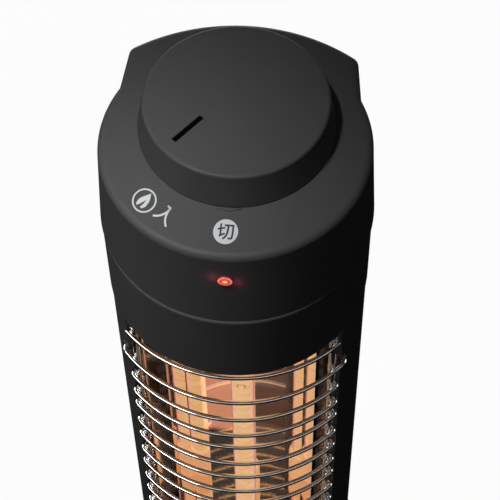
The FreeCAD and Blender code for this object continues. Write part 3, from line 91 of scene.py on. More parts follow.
# Glow of the lamp: from the glass's middle to its edges, its ripples, and a darker ring of painted
# shade at the rim of the sealed exhaust tip
TUBE_GLOW = [(0.0, (0.77, 0.48, 0.23, 1)), (0.16, (0.76, 0.46, 0.23, 1)),
             (0.40, (0.78, 0.45, 0.30, 1)), (0.60, (0.68, 0.35, 0.25, 1)),
             (0.75, (0.46, 0.17, 0.11, 1)), (1.0, (0.30, 0.10, 0.06, 1))]
TUBE_COLOUR = (0.12, 0.08, 0.06, 1)
TUBE_ROUGHNESS = (0.06, 0.14)
TUBE_GLOSS = 0.3
TUBE_RIPPLE = (150.0, 150.0, 420.0)
RIPPLE_RANGE = (0.45, 0.65)
RIPPLE_TINT = (0.94, 0.82, 0.74)
GLASS_SLANT = 0.53
TIP_DROP = 0.170
# Painted shade: a darker ring in the tube's glow along the rim of the exhaust tip
TIP_RIM_RADIUS = 0.0019
TIP_RIM_WIDTH = 0.0004
TIP_RIM_PAINTED_SHADE = (0.50, 0.20, 0.09, 1)

# Ceramic ends of the lamp, tone and warmth of their two shades, and the tube's light painted on
# them as glow
CERAMIC_SHADES = ((0.66, 0.08), (0.74, 0.05))
CERAMIC_PAINTED_GLOW = ((0.62, 0.31, 0.14, 1), (0.70, 0.39, 0.19, 1))
CERAMIC_STRENGTH = 0.95
CERAMIC_ROUGHNESS = (0.5, 0.7)

# Pilot lens: its axis, and its glow from the axis to the rim
LENS_LOW, LENS_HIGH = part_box("led_lens")
LENS_CENTRE = (LENS_LOW + LENS_HIGH) / 2
LENS_RADIUS = 0.0027
LENS_GLOW = [(0.0, (1.0, 0.80, 0.36, 1)), (0.18, (1.0, 0.55, 0.14, 1)),
             (0.36, (0.88, 0.20, 0.04, 1)), (0.56, (0.60, 0.03, 0.02, 1)),
             (0.70, (0.66, 0.05, 0.05, 1)), (0.80, (0.90, 0.24, 0.25, 1)),
             (0.92, (0.80, 0.20, 0.22, 1)), (0.985, (0.03, 0.002, 0.002, 1))]
LENS_COLOUR = (0.10, 0.006, 0.005, 1)
LENS_ROUGHNESS = (0.35, 0.5)
LENS_DRIFT = 0.05

# Red light that the pilot lens spills to its left and right
SPILL_SIDE, SPILL_RISE, SPILL_GAP = 0.0042, 0.0012, 0.0012
SPILL_POWER = 0.00025
SPILL_COLOUR = (1.0, 0.12, 0.16)

# Main spot: its way from the head as azimuth, elevation and distance, its aim and its cone
SPOT_WAY = (-60, 70, 0.8)
SPOT_AIM = Vector((-0.046, -0.040, 0))
SPOT_CONE = 12.8
SPOT_RADIUS = 0.08
SPOT_POWER = 45.5

# Soft panels: the height they look at, their way from there, their width and height, their power
# and whether they light the chrome guard alone
PANEL_HEIGHT = 0.75
GUARD_MIDDLE = 0.30
FILL_HEIGHT = 0.20
PANELS = [("left_panel", PANEL_HEIGHT, (-51, 0, 0.66), (1.10, 0.70), 0.90, False),
          ("left_box", PANEL_HEIGHT, (-60, 0, 0.70), (0.90, 0.30), 5.0, True),
          ("left_card", GUARD_MIDDLE, (-110, 8, 0.8), (0.30, 0.50), 3.0, True),
          ("front_card", GUARD_MIDDLE, (20, 38, 0.8), (1.20, 0.16), 0.7, True),
          ("right_card", GUARD_MIDDLE, (104, 6, 0.8), (0.24, 0.50), 0.9, True),
          ("right_strip", RING_FACE_Z, (74, 22, 0.8), (0.08, 0.50), 0.11, False),
          ("rear_fill", FILL_HEIGHT, (188, 0, 1.0), (0.60, 0.50), 4.0, False)]

# Room around the heater, dim to all rays but the camera's, and the floor
SKY_RISE = (-0.2, 1.0)
SKY_TONE = (0.02, 0.05)
FLOOR_REACH = 4.0
FLOOR_ROUGHNESS = 0.9
FLOOR_GLOSS = 0.1
FLOOR_DIM, FLOOR_PALE = 0.05, 0.8
FLOOR_GLOW_SHARE = 0.97

# Polished reflector sheet
MIRROR_TINTS = ((0.90, 0.76, 0.68, 1), (0.98, 0.90, 0.84, 1))
MIRROR_ROUGHNESS = (0.015, 0.06)
MIRROR_LINES = 0.00002

# Painted lamp light on the reflector's back panel, standing in for the lamp's reflection: strong
# left of the lamp and faint right of it
PAINTED_LAMPLIGHT_HIGH = 0.330
PAINTED_LAMPLIGHT_DEPTH = 0.0115
PAINTED_LAMPLIGHT_REACH = 1.0
PAINTED_LAMPLIGHT_SOFT = 0.0016
PAINTED_LAMPLIGHT_LEFT, PAINTED_LAMPLIGHT_RIGHT = -0.0190, -0.0030
PAINTED_LAMPLIGHT_LOW, PAINTED_LAMPLIGHT_FADE = 0.174, 0.0064
PAINTED_LAMPLIGHT_COLOUR = (0.56, 0.22, 0.12, 1)
FAINT_LAMPLIGHT_LEFT, FAINT_LAMPLIGHT_RIGHT = 0.0020, 0.0165
FAINT_LAMPLIGHT_SOFT = 0.0048
FAINT_LAMPLIGHT_LOW, FAINT_LAMPLIGHT_FADE = 0.22, 0.10
FAINT_LAMPLIGHT_COLOUR = (0.095, 0.043, 0.027, 1)

# Mouldings: drifts of tone and roughness, depth of the grain, rubbed edges and dust
TONE_DRIFT = 0.05
ROUGH_DRIFT = 0.06
GRAIN_STRENGTH = 0.6
RUBBED_TONE = 3.0
RUBBED_PATCHES = 120.0
DUST_TONE, DUST_WARMTH = 0.25, 0.05
DUST_TILT = (0.5, 1.0)
DUST_SPECKS = (0.4, 0.75)

# Bright metal: share of its brightness left where clouded, range of its roughness, drawing lines
CLOUDED_SHARE = 0.82
CLOUDED_ROUGHNESS = (0.7, 1.3)
CLOUD_SCALE = 45.0
LINES_STRENGTH = 0.5

# Wound filament in the tube
COIL_RADIUS = 0.0011
COIL_WIRE = 0.00022
COIL_PITCH = 0.0012
COIL_STEPS = 12
COIL_COLOURS = ((1.0, 0.62, 0.22, 1), (1.0, 0.45, 0.12, 1))
COIL_STRENGTH = 3.0
COIL_DRIFT = 800.0
GLOW_ROUGHNESS = 0.25


def node(tree, kind, inputs=None, **settings):
    """A shader node with its settings made and its inputs filled by values or by links."""
    made = tree.nodes.new(kind)
    for key, value in settings.items():
        setattr(made, key, value)
    for key, value in (inputs or {}).items():
        if isinstance(value, bpy.types.NodeSocket):
            tree.links.new(value, made.inputs[key])
        else:
            made.inputs[key].default_value = value
    return made


def new_group(name, inputs, outputs):
    """An empty node group with named sockets, and its two end nodes."""
    tree = bpy.data.node_groups.new(name, "ShaderNodeTree")
    for socket, kind, value in inputs:
        made = tree.interface.new_socket(socket, in_out="INPUT", socket_type=kind)
        made.default_value = value
    for socket, kind in outputs:
        tree.interface.new_socket(socket, in_out="OUTPUT", socket_type=kind)
    return tree, tree.nodes.new("NodeGroupInput"), tree.nodes.new("NodeGroupOutput")


def math_node(tree, operation, a, b=0.0, clamp=False):
    made = node(tree, "ShaderNodeMath", {0: a, 1: b}, operation=operation, use_clamp=clamp)
    return made.outputs[0]


def share_between(tree, value, low, high, **settings):
    """Nought where a value stands at a low limit, one where it stands at a high limit."""
    limits = {"Value": value, "From Min": low, "From Max": high}
    return node(tree, "ShaderNodeMapRange", limits, **settings).outputs[0]


def spread(tree, value, low, high):
    """A value from nought to one, spread over a range."""
    limits = {"Value": value, "To Min": low, "To Max": high}
    return node(tree, "ShaderNodeMapRange", limits).outputs[0]


def make_grain_group():
    """Fine pebbled skin of a moulding, with slow drifts of tone over it."""
    tree, start, end = new_group(
        "moulded_grain",
        [("Grain Scale", "NodeSocketFloat", 1800.0), ("Drift Scale", "NodeSocketFloat", 18.0)],
        [("Height", "NodeSocketFloat"), ("Drift", "NodeSocketFloat")])
    place = node(tree, "ShaderNodeTexCoord").outputs["Object"]
    pebbles = node(tree, "ShaderNodeTexVoronoi",
                   {"Vector": place, "Scale": start.outputs["Grain Scale"]}, feature="SMOOTH_F1")
    speckle = node(tree, "ShaderNodeTexNoise",
                   {"Vector": place, "Scale": start.outputs["Grain Scale"], "Detail": 2.0})
    drift = node(tree, "ShaderNodeTexNoise",
                 {"Vector": place, "Scale": start.outputs["Drift Scale"], "Detail": 4.0})
    height = math_node(tree, "ADD", pebbles.outputs["Distance"], speckle.outputs[0])
    tree.links.new(height, end.inputs["Height"])
    tree.links.new(drift.outputs[0], end.inputs["Drift"])
    return tree


def make_wear_group():
    """Mask of edges rubbed by hands, found by comparing a rounded normal with the true one."""
    tree, start, end = new_group(
        "edge_wear",
        [("Radius", "NodeSocketFloat", 0.0008), ("Amount", "NodeSocketFloat", 1.0)],
        [("Mask", "NodeSocketFloat")])
    rounded = node(tree, "ShaderNodeBevel", {"Radius": start.outputs["Radius"]}, samples=4)
    true_normal = node(tree, "ShaderNodeNewGeometry").outputs["Normal"]
    dot = node(tree, "ShaderNodeVectorMath", {0: rounded.outputs[0], 1: true_normal},
               operation="DOT_PRODUCT")
    bend = math_node(tree, "SUBTRACT", 1.0, dot.outputs["Value"])
    place = node(tree, "ShaderNodeTexCoord").outputs["Object"]
    patches = node(tree, "ShaderNodeTexNoise",
                   {"Vector": place, "Scale": RUBBED_PATCHES, "Detail": 3.0})
    worn = math_node(tree, "MULTIPLY", bend, patches.outputs[0])
    mask = math_node(tree, "MULTIPLY", worn, start.outputs["Amount"], clamp=True)
    tree.links.new(mask, end.inputs["Mask"])
    return tree


def make_dust_group():
    """Mask of fine dust on faces that look up, broken up by noise."""
    tree, start, end = new_group(
        "settled_dust",
        [("Amount", "NodeSocketFloat", 0.3), ("Scale", "NodeSocketFloat", 60.0)],
        [("Mask", "NodeSocketFloat")])
    normal = node(tree, "ShaderNodeNewGeometry").outputs["Normal"]
    up = node(tree, "ShaderNodeSeparateXYZ", {0: normal}).outputs["Z"]
    lying = share_between(tree, up, *DUST_TILT)
    place = node(tree, "ShaderNodeTexCoord").outputs["Object"]
    specks = node(tree, "ShaderNodeTexNoise",
                  {"Vector": place, "Scale": start.outputs["Scale"],
                   "Detail": 8.0, "Roughness": 0.7})
    broken = share_between(tree, specks.outputs[0], *DUST_SPECKS)
    mask = math_node(tree, "MULTIPLY", lying, broken)
    mask = math_node(tree, "MULTIPLY", mask, start.outputs["Amount"], clamp=True)
    tree.links.new(mask, end.inputs["Mask"])
    return tree


def make_drawn_group():
    """Faint lines along the drawing direction of sheet and wire."""
    tree, start, end = new_group(
        "drawn_lines",
        [("Scale", "NodeSocketFloat", 400.0), ("Stretch", "NodeSocketFloat", 0.02)],
        [("Lines", "NodeSocketFloat"), ("Blotches", "NodeSocketFloat")])
    place = node(tree, "ShaderNodeTexCoord").outputs["Object"]
    ratio = node(tree, "ShaderNodeCombineXYZ", {"X": 1.0, "Y": 1.0, "Z": start.outputs["Stretch"]})
    drawn = node(tree, "ShaderNodeVectorMath", {0: place, 1: ratio.outputs[0]},
                 operation="MULTIPLY")
    lines = node(tree, "ShaderNodeTexNoise",
                 {"Vector": drawn.outputs[0], "Scale": start.outputs["Scale"], "Detail": 3.0})
    blotches = node(tree, "ShaderNodeTexNoise",
                    {"Vector": place, "Scale": CLOUD_SCALE, "Detail": 4.0})
    tree.links.new(lines.outputs[0], end.inputs["Lines"])
    tree.links.new(blotches.outputs[0], end.inputs["Blotches"])
    return tree


GRAIN = make_grain_group()
WEAR = make_wear_group()
DUST = make_dust_group()
DRAWN = make_drawn_group()


def place_group(tree, group, **values):
    """A node group placed in a material, with its own values."""
    made = tree.nodes.new("ShaderNodeGroup")
    made.node_tree = group
    for key, value in values.items():
        made.inputs[key.replace("_", " ")].default_value = value
    return made


def new_finish(name):
    """An empty material with its surface shader."""
    material = bpy.data.materials.new(name)
    material.use_nodes = True
    return material, material.node_tree, material.node_tree.nodes["Principled BSDF"]


def mix_colour(tree, share, a, b):
    """Colour a, going over to b where share is one."""
    made = tree.nodes.new("ShaderNodeMix")
    made.data_type = "RGBA"
    for slot, value in ((0, share), (6, a), (7, b)):
        if isinstance(value, bpy.types.NodeSocket):
            tree.links.new(value, made.inputs[slot])
        else:
            made.inputs[slot].default_value = value
    return made.outputs[2]


def grey(tone, warm=0.0):
    return (tone * (1 + warm), tone, tone * (1 - warm), 1.0)


def add_relief(tree, surface, height, depth, strength):
    """Fine relief in a finish, raised where the height is large."""
    bump = node(tree, "ShaderNodeBump", {"Height": height, "Distance": depth, "Strength": strength})
    tree.links.new(bump.outputs[0], surface.inputs["Normal"])


def moulded_plastic(name, tone, roughness, warm=0.0, grain_scale=1800.0, grain_depth=0.00002,
                    dust=0.2, wear=3.0, gloss=0.3):
    """Matte injection moulding: pebbled skin, drifting tone, rubbed edges and a little dust."""
    material, tree, surface = new_finish(name)
    grain = place_group(tree, GRAIN, Grain_Scale=grain_scale)
    rubbed = place_group(tree, WEAR, Amount=wear)
    dusty = place_group(tree, DUST, Amount=dust)
    deep, pale = grey(tone * (1 - TONE_DRIFT), warm), grey(tone * (1 + TONE_DRIFT), warm)
    base = mix_colour(tree, grain.outputs["Drift"], deep, pale)
    base = mix_colour(tree, rubbed.outputs["Mask"], base, grey(tone * RUBBED_TONE, warm))
    base = mix_colour(tree, dusty.outputs["Mask"], base, grey(DUST_TONE, DUST_WARMTH))
    tree.links.new(base, surface.inputs["Base Color"])
    rough = spread(tree, grain.outputs["Drift"], roughness - ROUGH_DRIFT, roughness + ROUGH_DRIFT)
    tree.links.new(rough, surface.inputs["Roughness"])
    add_relief(tree, surface, grain.outputs["Height"], grain_depth, GRAIN_STRENGTH)
    surface.inputs["Specular IOR Level"].default_value = gloss
    return material


def bright_metal(name, colour, roughness, stretch=0.02, lines_scale=400.0, lines_depth=0.000004):
    """Plated or polished metal with faint drawing lines and slight clouding."""
    material, tree, surface = new_finish(name)
    drawn = place_group(tree, DRAWN, Scale=lines_scale, Stretch=stretch)
    dull = tuple(c * CLOUDED_SHARE for c in colour[:3]) + (1.0,)
    tint = mix_colour(tree, drawn.outputs["Blotches"], dull, colour)
    tree.links.new(tint, surface.inputs["Base Color"])
    surface.inputs["Metallic"].default_value = 1.0
    limits = (roughness * part for part in CLOUDED_ROUGHNESS)
    rough = spread(tree, drawn.outputs["Blotches"], *limits)
    tree.links.new(rough, surface.inputs["Roughness"])
    add_relief(tree, surface, drawn.outputs["Lines"], lines_depth, LINES_STRENGTH)
    return material


def glowing(name, core, rim, strength, scale):
    """A lit surface whose glow drifts a little from a core colour to a rim colour."""
    material, tree, surface = new_finish(name)
    grain = place_group(tree, GRAIN, Grain_Scale=scale, Drift_Scale=scale / 4)
    tint = mix_colour(tree, grain.outputs["Drift"], core, rim)
    tree.links.new(tint, surface.inputs["Base Color"])
    tree.links.new(tint, surface.inputs["Emission Color"])
    surface.inputs["Emission Strength"].default_value = strength
    surface.inputs["Roughness"].default_value = GLOW_ROUGHNESS
    return material


def colour_ramp(tree, share, stops):
    """Colours along a share from nought to one."""
    ramp = node(tree, "ShaderNodeValToRGB", {"Fac": share})
    elements = ramp.color_ramp.elements
    elements[0].position, elements[0].color = stops[0]
    elements[1].position, elements[1].color = stops[-1]
    for position, colour in stops[1:-1]:
        elements.new(position).color = colour
    return ramp.outputs[0]


def bounded(tree, value, low, high, soft):
    """One between two limits, falling to nought over a soft margin outside them."""
    rise = share_between(tree, value, low - soft, low, interpolation_type="SMOOTHSTEP")
    fall = share_between(tree, value, high + soft, high, interpolation_type="SMOOTHSTEP")
    return math_node(tree, "MULTIPLY", rise, fall)


def away_from(tree, place, x, z):
    """Distance from an axis that runs front to back through x and z."""
    flat = node(tree, "ShaderNodeVectorMath", {0: place, 1: (1.0, 0.0, 1.0)}, operation="MULTIPLY")
    away = node(tree, "ShaderNodeVectorMath", {0: flat.outputs[0], 1: (x, 0, z)},
                operation="DISTANCE")
    return away.outputs["Value"]


def quartz_glow():
    """Quartz tube around the burning coil: pale in the middle, rosy at its edges, rippled, with a
    ring of painted shade at its exhaust tip.
    """
    material, tree, surface = new_finish("lit_quartz")
    place = node(tree, "ShaderNodeTexCoord").outputs["Object"]
    slant = node(tree, "ShaderNodeLayerWeight", {"Blend": 0.5}).outputs["Facing"]
    glow = colour_ramp(tree, share_between(tree, slant, GLASS_SLANT, 1.0), TUBE_GLOW)
    stretched = node(tree, "ShaderNodeVectorMath", {0: place, 1: TUBE_RIPPLE}, operation="MULTIPLY")
    waves = node(tree, "ShaderNodeTexNoise",
                 {"Vector": stretched.outputs[0], "Scale": 1.0, "Detail": 2.0})
    ripple = share_between(tree, waves.outputs[0], *RIPPLE_RANGE)
    deeper = node(tree, "ShaderNodeVectorMath", {0: glow, 1: RIPPLE_TINT}, operation="MULTIPLY")
    glow = mix_colour(tree, ripple, glow, deeper.outputs[0])
    # Painted shade: the glow turns darker in a ring along the rim of the exhaust tip
    away = away_from(tree, place, LAMP_AXIS.x, RING_FACE_Z - TIP_DROP)
    rim = bounded(tree, away, TIP_RIM_RADIUS - TIP_RIM_WIDTH, TIP_RIM_RADIUS, TIP_RIM_WIDTH)
    glow = mix_colour(tree, rim, glow, TIP_RIM_PAINTED_SHADE)
    surface.inputs["Base Color"].default_value = TUBE_COLOUR
    tree.links.new(glow, surface.inputs["Emission Color"])
    surface.inputs["Emission Strength"].default_value = 1.0
    tree.links.new(spread(tree, ripple, *TUBE_ROUGHNESS), surface.inputs["Roughness"])
    surface.inputs["Specular IOR Level"].default_value = TUBE_GLOSS
    return material


def lamp_lit_ceramic():
    """White ceramic end of the lamp, with the light of the glowing tube it holds painted on as
    glow.
    """
    material, tree, surface = new_finish("lamp_lit_ceramic")
    grain = place_group(tree, GRAIN, Grain_Scale=1000.0, Drift_Scale=160.0)
    drift = grain.outputs["Drift"]
    base = mix_colour(tree, drift, *(grey(tone, warmth) for tone, warmth in CERAMIC_SHADES))
    tree.links.new(base, surface.inputs["Base Color"])
    # Painted light: the caps' emission stands in for the tube's light falling on and through them
    tree.links.new(mix_colour(tree, drift, *CERAMIC_PAINTED_GLOW), surface.inputs["Emission Color"])
    surface.inputs["Emission Strength"].default_value = CERAMIC_STRENGTH
    tree.links.new(spread(tree, drift, *CERAMIC_ROUGHNESS), surface.inputs["Roughness"])
    return material


def mirror_sheet():
    """Polished reflector sheet, streaked along its length, with painted lamp light that only the
    camera sees.
    """
    material, tree, surface = new_finish("mirror_sheet")
    drawn = place_group(tree, DRAWN, Scale=260.0, Stretch=0.015)
    tint = mix_colour(tree, drawn.outputs["Lines"], *MIRROR_TINTS)
    tree.links.new(tint, surface.inputs["Base Color"])
    surface.inputs["Metallic"].default_value = 1.0
    rough = spread(tree, drawn.outputs["Blotches"], *MIRROR_ROUGHNESS)
    tree.links.new(rough, surface.inputs["Roughness"])
    add_relief(tree, surface, drawn.outputs["Lines"], MIRROR_LINES, LINES_STRENGTH)
    # Painted lamp light: two emission patches on the back panel, seen by camera rays alone, stand
    # in for the lamp's reflection in the sheet
    point = node(tree, "ShaderNodeTexCoord").outputs["Object"]
    place = node(tree, "ShaderNodeSeparateXYZ", {0: point}).outputs
    deep = bounded(tree, place["Y"], PAINTED_LAMPLIGHT_DEPTH, PAINTED_LAMPLIGHT_REACH, PAINTED_LAMPLIGHT_SOFT)
    seen = node(tree, "ShaderNodeLightPath").outputs["Is Camera Ray"]
    painted_lamplight = (0, 0, 0, 1)
    for left, right, soft, low, fade, colour in (
            (PAINTED_LAMPLIGHT_LEFT, PAINTED_LAMPLIGHT_RIGHT, PAINTED_LAMPLIGHT_SOFT, PAINTED_LAMPLIGHT_LOW, PAINTED_LAMPLIGHT_FADE, PAINTED_LAMPLIGHT_COLOUR),
            (FAINT_LAMPLIGHT_LEFT, FAINT_LAMPLIGHT_RIGHT, FAINT_LAMPLIGHT_SOFT, FAINT_LAMPLIGHT_LOW, FAINT_LAMPLIGHT_FADE, FAINT_LAMPLIGHT_COLOUR)):
        across = bounded(tree, place["X"], left, right, soft)
        along = bounded(tree, place["Z"], low, PAINTED_LAMPLIGHT_HIGH, fade)
        mask = math_node(tree, "MULTIPLY", math_node(tree, "MULTIPLY", across, along), deep)
        painted_lamplight = mix_colour(tree, math_node(tree, "MULTIPLY", mask, seen), painted_lamplight, colour)
    tree.links.new(painted_lamplight, surface.inputs["Emission Color"])
    surface.inputs["Emission Strength"].default_value = 1.0
    return material


def pilot_lens():
    """Lit red lens: a hot core on its axis, a deep red field, a rosy rim and dark sides."""
    material, tree, surface = new_finish("lit_lens")
    place = node(tree, "ShaderNodeTexCoord").outputs["Object"]
    away = away_from(tree, place, LENS_CENTRE.x, LENS_CENTRE.z)
    share = share_between(tree, away, 0.0, LENS_RADIUS)
    drift = place_group(tree, GRAIN, Grain_Scale=1500.0, Drift_Scale=700.0).outputs["Drift"]
    share = math_node(tree, "ADD", share, spread(tree, drift, -LENS_DRIFT, LENS_DRIFT))
    tree.links.new(colour_ramp(tree, share, LENS_GLOW), surface.inputs["Emission Color"])
    surface.inputs["Emission Strength"].default_value = 1.0
    surface.inputs["Base Color"].default_value = LENS_COLOUR
    tree.links.new(spread(tree, drift, *LENS_ROUGHNESS), surface.inputs["Roughness"])
    return material


CHARCOAL = moulded_plastic("charcoal_plastic", 0.066, 0.56, dust=0.03, wear=0.3, gloss=0.22)
SWITCH_BLACK = moulded_plastic("switch_plastic", 0.03, 0.45, grain_scale=900.0)
PALE = moulded_plastic("pale_plastic", 0.55, 0.4, warm=0.04, grain_scale=900.0, wear=0.2)
RUBBER = moulded_plastic("foot_rubber", 0.015, 0.8, grain_scale=700.0, grain_depth=0.00005)
SLEEVE = moulded_plastic("lead_sleeve", 0.5, 0.7, warm=0.05, grain_scale=1200.0, wear=0.2)
CHROME = bright_metal("chrome_wire", (0.94, 0.93, 0.92, 1), 0.10)
STEEL = bright_metal("plain_steel", (0.55, 0.54, 0.52, 1), 0.3)
ZINC = bright_metal("zinc_sheet", (0.50, 0.51, 0.53, 1), 0.38, stretch=1.0, lines_scale=60.0)
MIRROR = mirror_sheet()
QUARTZ = quartz_glow()
LAMP_LIT_CERAMIC = lamp_lit_ceramic()
LENS = pilot_lens()
COIL = glowing("burning_coil", *COIL_COLOURS, COIL_STRENGTH, COIL_DRIFT)
PRINT = moulded_plastic("mark_print", 0.62, 0.5, warm=-0.03, wear=0.0, dust=0.0)
PRINT_DARK = moulded_plastic("mark_print_dark", 0.03, 0.5, wear=0.0, dust=0.0)
INLAY = moulded_plastic("pointer_inlay", 0.002, 0.9, wear=0.0, dust=0.0, gloss=0.0)

NODE_FINISHES = {
    "dial_knob": CHARCOAL, "head_cap": CHARCOAL, "front_shell": CHARCOAL, "rear_cover": CHARCOAL,
    "base_shell": CHARCOAL, "led_lens": LENS, "led_lamp": LENS, "guard_wires": CHROME,
    "guard_rods": CHROME, "reflector": MIRROR, "upper_end_plate": MIRROR, "lower_end_plate": MIRROR,
    "lamp_tube": QUARTZ, "filament": COIL, "lamp_pins": STEEL, "upper_lamp_cap": LAMP_LIT_CERAMIC,
    "lower_lamp_cap": LAMP_LIT_CERAMIC, "upper_lamp_clip": STEEL, "lower_lamp_clip": STEEL,
    "thermal_fuse": STEEL, "fuse_clip": STEEL, "rotary_switch": SWITCH_BLACK, "switch_nut": STEEL,
    "switch_shaft": STEEL, "base_plate": ZINC, "rubber_feet": RUBBER, "cord_bush": RUBBER,
    "tip_switch_housing": SWITCH_BLACK, "micro_switch": SWITCH_BLACK, "tip_plunger": PALE,
    "plunger_spring": STEEL, "terminal_block": PALE, "inner_leads": SLEEVE,
    "frame_screws": STEEL, "cover_screws": STEEL, "base_screws": STEEL}


def dress_nodes():
    """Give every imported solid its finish."""
    for name, material in NODE_FINISHES.items():
        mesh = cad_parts[name].data
        mesh.materials.clear()
        mesh.materials.append(material)


def put_in_scene(name, data):
    """An object made from a mesh, curve, light or camera, linked to the scene."""
    made = bpy.data.objects.new(name, data)
    bpy.context.scene.collection.objects.link(made)
    return made


def mesh_of_curve(curve):
    """The mesh that a curve or a letter draws; the curve itself is removed."""
    holder = put_in_scene(curve.name, curve)
    bpy.context.view_layer.update()
    mesh = bpy.data.meshes.new_from_object(holder)
    bpy.data.objects.remove(holder)
    bpy.data.curves.remove(curve)
    return mesh


def new_piece(name, mesh, material, body):
    """A new piece of the heater that moves with one of its bodies."""
    piece = put_in_scene(name, mesh)
    mesh.materials.clear()
    mesh.materials.append(material)
    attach(piece, body)
    return piece


def around_dial(angle, radius, z):
    """A point round the dial's centre, with the angle counted from the front towards +X."""
    turn = math.radians(angle)
    return DIAL_CENTRE + Vector((radius * math.sin(turn), -radius * math.cos(turn), z))


def flat_mesh(name, points, faces):
    """A flat mesh in its own plane from lists of points and faces."""
    mesh = bpy.data.meshes.new(name)
    mesh.from_pydata([(x, y, 0.0) for x, y in points], [], faces)
    mesh.update()
    return mesh


def lay_mark(mesh, angle, tilt, layer=1.0):
    """Turn a flat mark, stretch it front to back and lay it on the ring face."""
    place = around_dial(angle, MARK_CIRCLE, RING_FACE_Z + MARK_LIFT * layer)
    turn = Matrix.Rotation(math.radians(tilt), 4, "Z")
    mesh.transform(Matrix.Translation(place) @ Matrix.Diagonal((1, MARK_STRETCH, 1, 1)) @ turn)
    return mesh


def circle_points(radius):
    turns = [2 * math.pi * i / ROUND_POINTS for i in range(ROUND_POINTS)]
    return [(radius * math.cos(turn), radius * math.sin(turn)) for turn in turns]


def disc_mesh(name, radius):
    points = circle_points(radius)
    return flat_mesh(name, points, [list(range(len(points)))])


def rim_mesh(name, outer, inner):
    outside, inside = circle_points(outer), circle_points(inner)
    count = len(outside)
    faces = [(i, (i + 1) % count, count + (i + 1) % count, count + i) for i in range(count)]
    return flat_mesh(name, outside + inside, faces)


def bezier(a, b, c, d):
    """Points along one curved side of a mark, all but its last."""
    points = []
    for i in range(CURVE_POINTS):
        t = i / CURVE_POINTS
        weights = ((1 - t) ** 3, 3 * t * (1 - t) ** 2, 3 * t * t * (1 - t), t ** 3)
        points.append(tuple(sum(w * p[k] for w, p in zip(weights, (a, b, c, d))) for k in (0, 1)))
    return points


def flame_mesh(name, size):
    """Leaf-shaped flame with a pointed tip and a slit between its two tongues."""
    tip, right, right_foot = (0.0, 1.0), (0.50, -0.05), (0.26, -0.80)
    slit_right, slit_top, slit_left = (0.10, -0.70), (0.14, 0.22), (-0.22, -0.70)
    left_foot, left = (-0.38, -0.76), (-0.52, -0.20)
    outline = bezier(tip, (-0.10, 0.55), (-0.46, 0.28), left)
    outline += bezier(left, (-0.56, -0.45), (-0.50, -0.72), left_foot)
    outline += bezier(left_foot, (-0.30, -0.82), (-0.22, -0.82), slit_left)
    outline += bezier(slit_left, (-0.08, -0.45), (0.0, -0.15), slit_top)
    outline += bezier(slit_top, (0.16, -0.15), (0.18, -0.40), slit_right)
    outline += bezier(slit_right, (0.18, -0.76), (0.22, -0.82), right_foot)
    outline += bezier(right_foot, (0.50, -0.62), (0.58, -0.35), right)
    outline += bezier(right, (0.52, 0.30), (0.22, 0.70), tip)
    points = [(x * size, y * size) for x, y in outline]
    return flat_mesh(name, points, [list(range(len(points)))])


def stroke_mesh(name, strokes, size, width):
    """Brush strokes of even width, each a ribbon along its own centre line."""
    points, faces = [], []
    for line in strokes:
        line = [Vector((x * size, y * size)) for x, y in line]
        first = len(points)
        for i, place in enumerate(line):
            run = line[min(i + 1, len(line) - 1)] - line[max(i - 1, 0)]
            aside = Vector((-run.y, run.x)).normalized() * width / 2
            points += [tuple(place + aside), tuple(place - aside)]
        faces += [(k, k + 1, k + 3, k + 2) for k in range(first, len(points) - 3, 2)]
    return flat_mesh(name, points, faces)


def on_strokes():
    """The ON letter: a short cap turning into the right leg, and the left leg."""
    cap = [(-0.24, 0.46), (-0.02, 0.46)]
    right_foot, left_foot = (0.50, -0.46), (-0.50, -0.48)
    right_leg = bezier((-0.03, 0.52), (-0.02, 0.15), (0.10, -0.25), right_foot) + [right_foot]
    left_leg = bezier((-0.01, 0.25), (-0.08, -0.10), (-0.22, -0.32), left_foot) + [left_foot]
    return [cap, right_leg, left_leg]


def letter_mesh(name, letter, height, bold):
    """A printed letter, centred on its own middle."""
    curve = bpy.data.curves.new(name, "FONT")
    curve.body = letter
    curve.size = height
    curve.offset = bold
    curve.fill_mode = "FRONT"
    mesh = mesh_of_curve(curve)
    xs = [v.co.x for v in mesh.vertices]
    ys = [v.co.y for v in mesh.vertices]
    middle = Vector(((min(xs) + max(xs)) / 2, (min(ys) + max(ys)) / 2, 0))
    mesh.transform(Matrix.Translation(-middle))
    return mesh


def print_marks():
    """The ON mark, a ringed flame and a letter, and the OFF mark, a letter on a pale disc."""
    rim = rim_mesh("flame_rim", DISC_RADIUS, DISC_RADIUS - RIM_WIDTH)
    flame = flame_mesh("flame_mark", DISC_RADIUS * FLAME_SHARE)
    on_letter = stroke_mesh("on_letter", on_strokes(), ON_SIZE, ON_STROKE)
    disc = disc_mesh("off_disc", DISC_RADIUS)
    off_letter = letter_mesh("off_letter", "切", OFF_HEIGHT, OFF_BOLD)
    marks = [("flame_rim", lay_mark(rim, FLAME_ANGLE, MARK_TILT), PRINT),
             ("flame_mark", lay_mark(flame, FLAME_ANGLE, MARK_TILT), PRINT),
             ("on_letter", lay_mark(on_letter, ON_ANGLE, MARK_TILT), PRINT),
             ("off_disc", lay_mark(disc, OFF_ANGLE, 0.0), PRINT),
             ("off_letter", lay_mark(off_letter, OFF_ANGLE, 0.0, LETTER_LAYER), PRINT_DARK)]
    for name, mesh, finish in marks:
        new_piece(name, mesh, finish, "body")


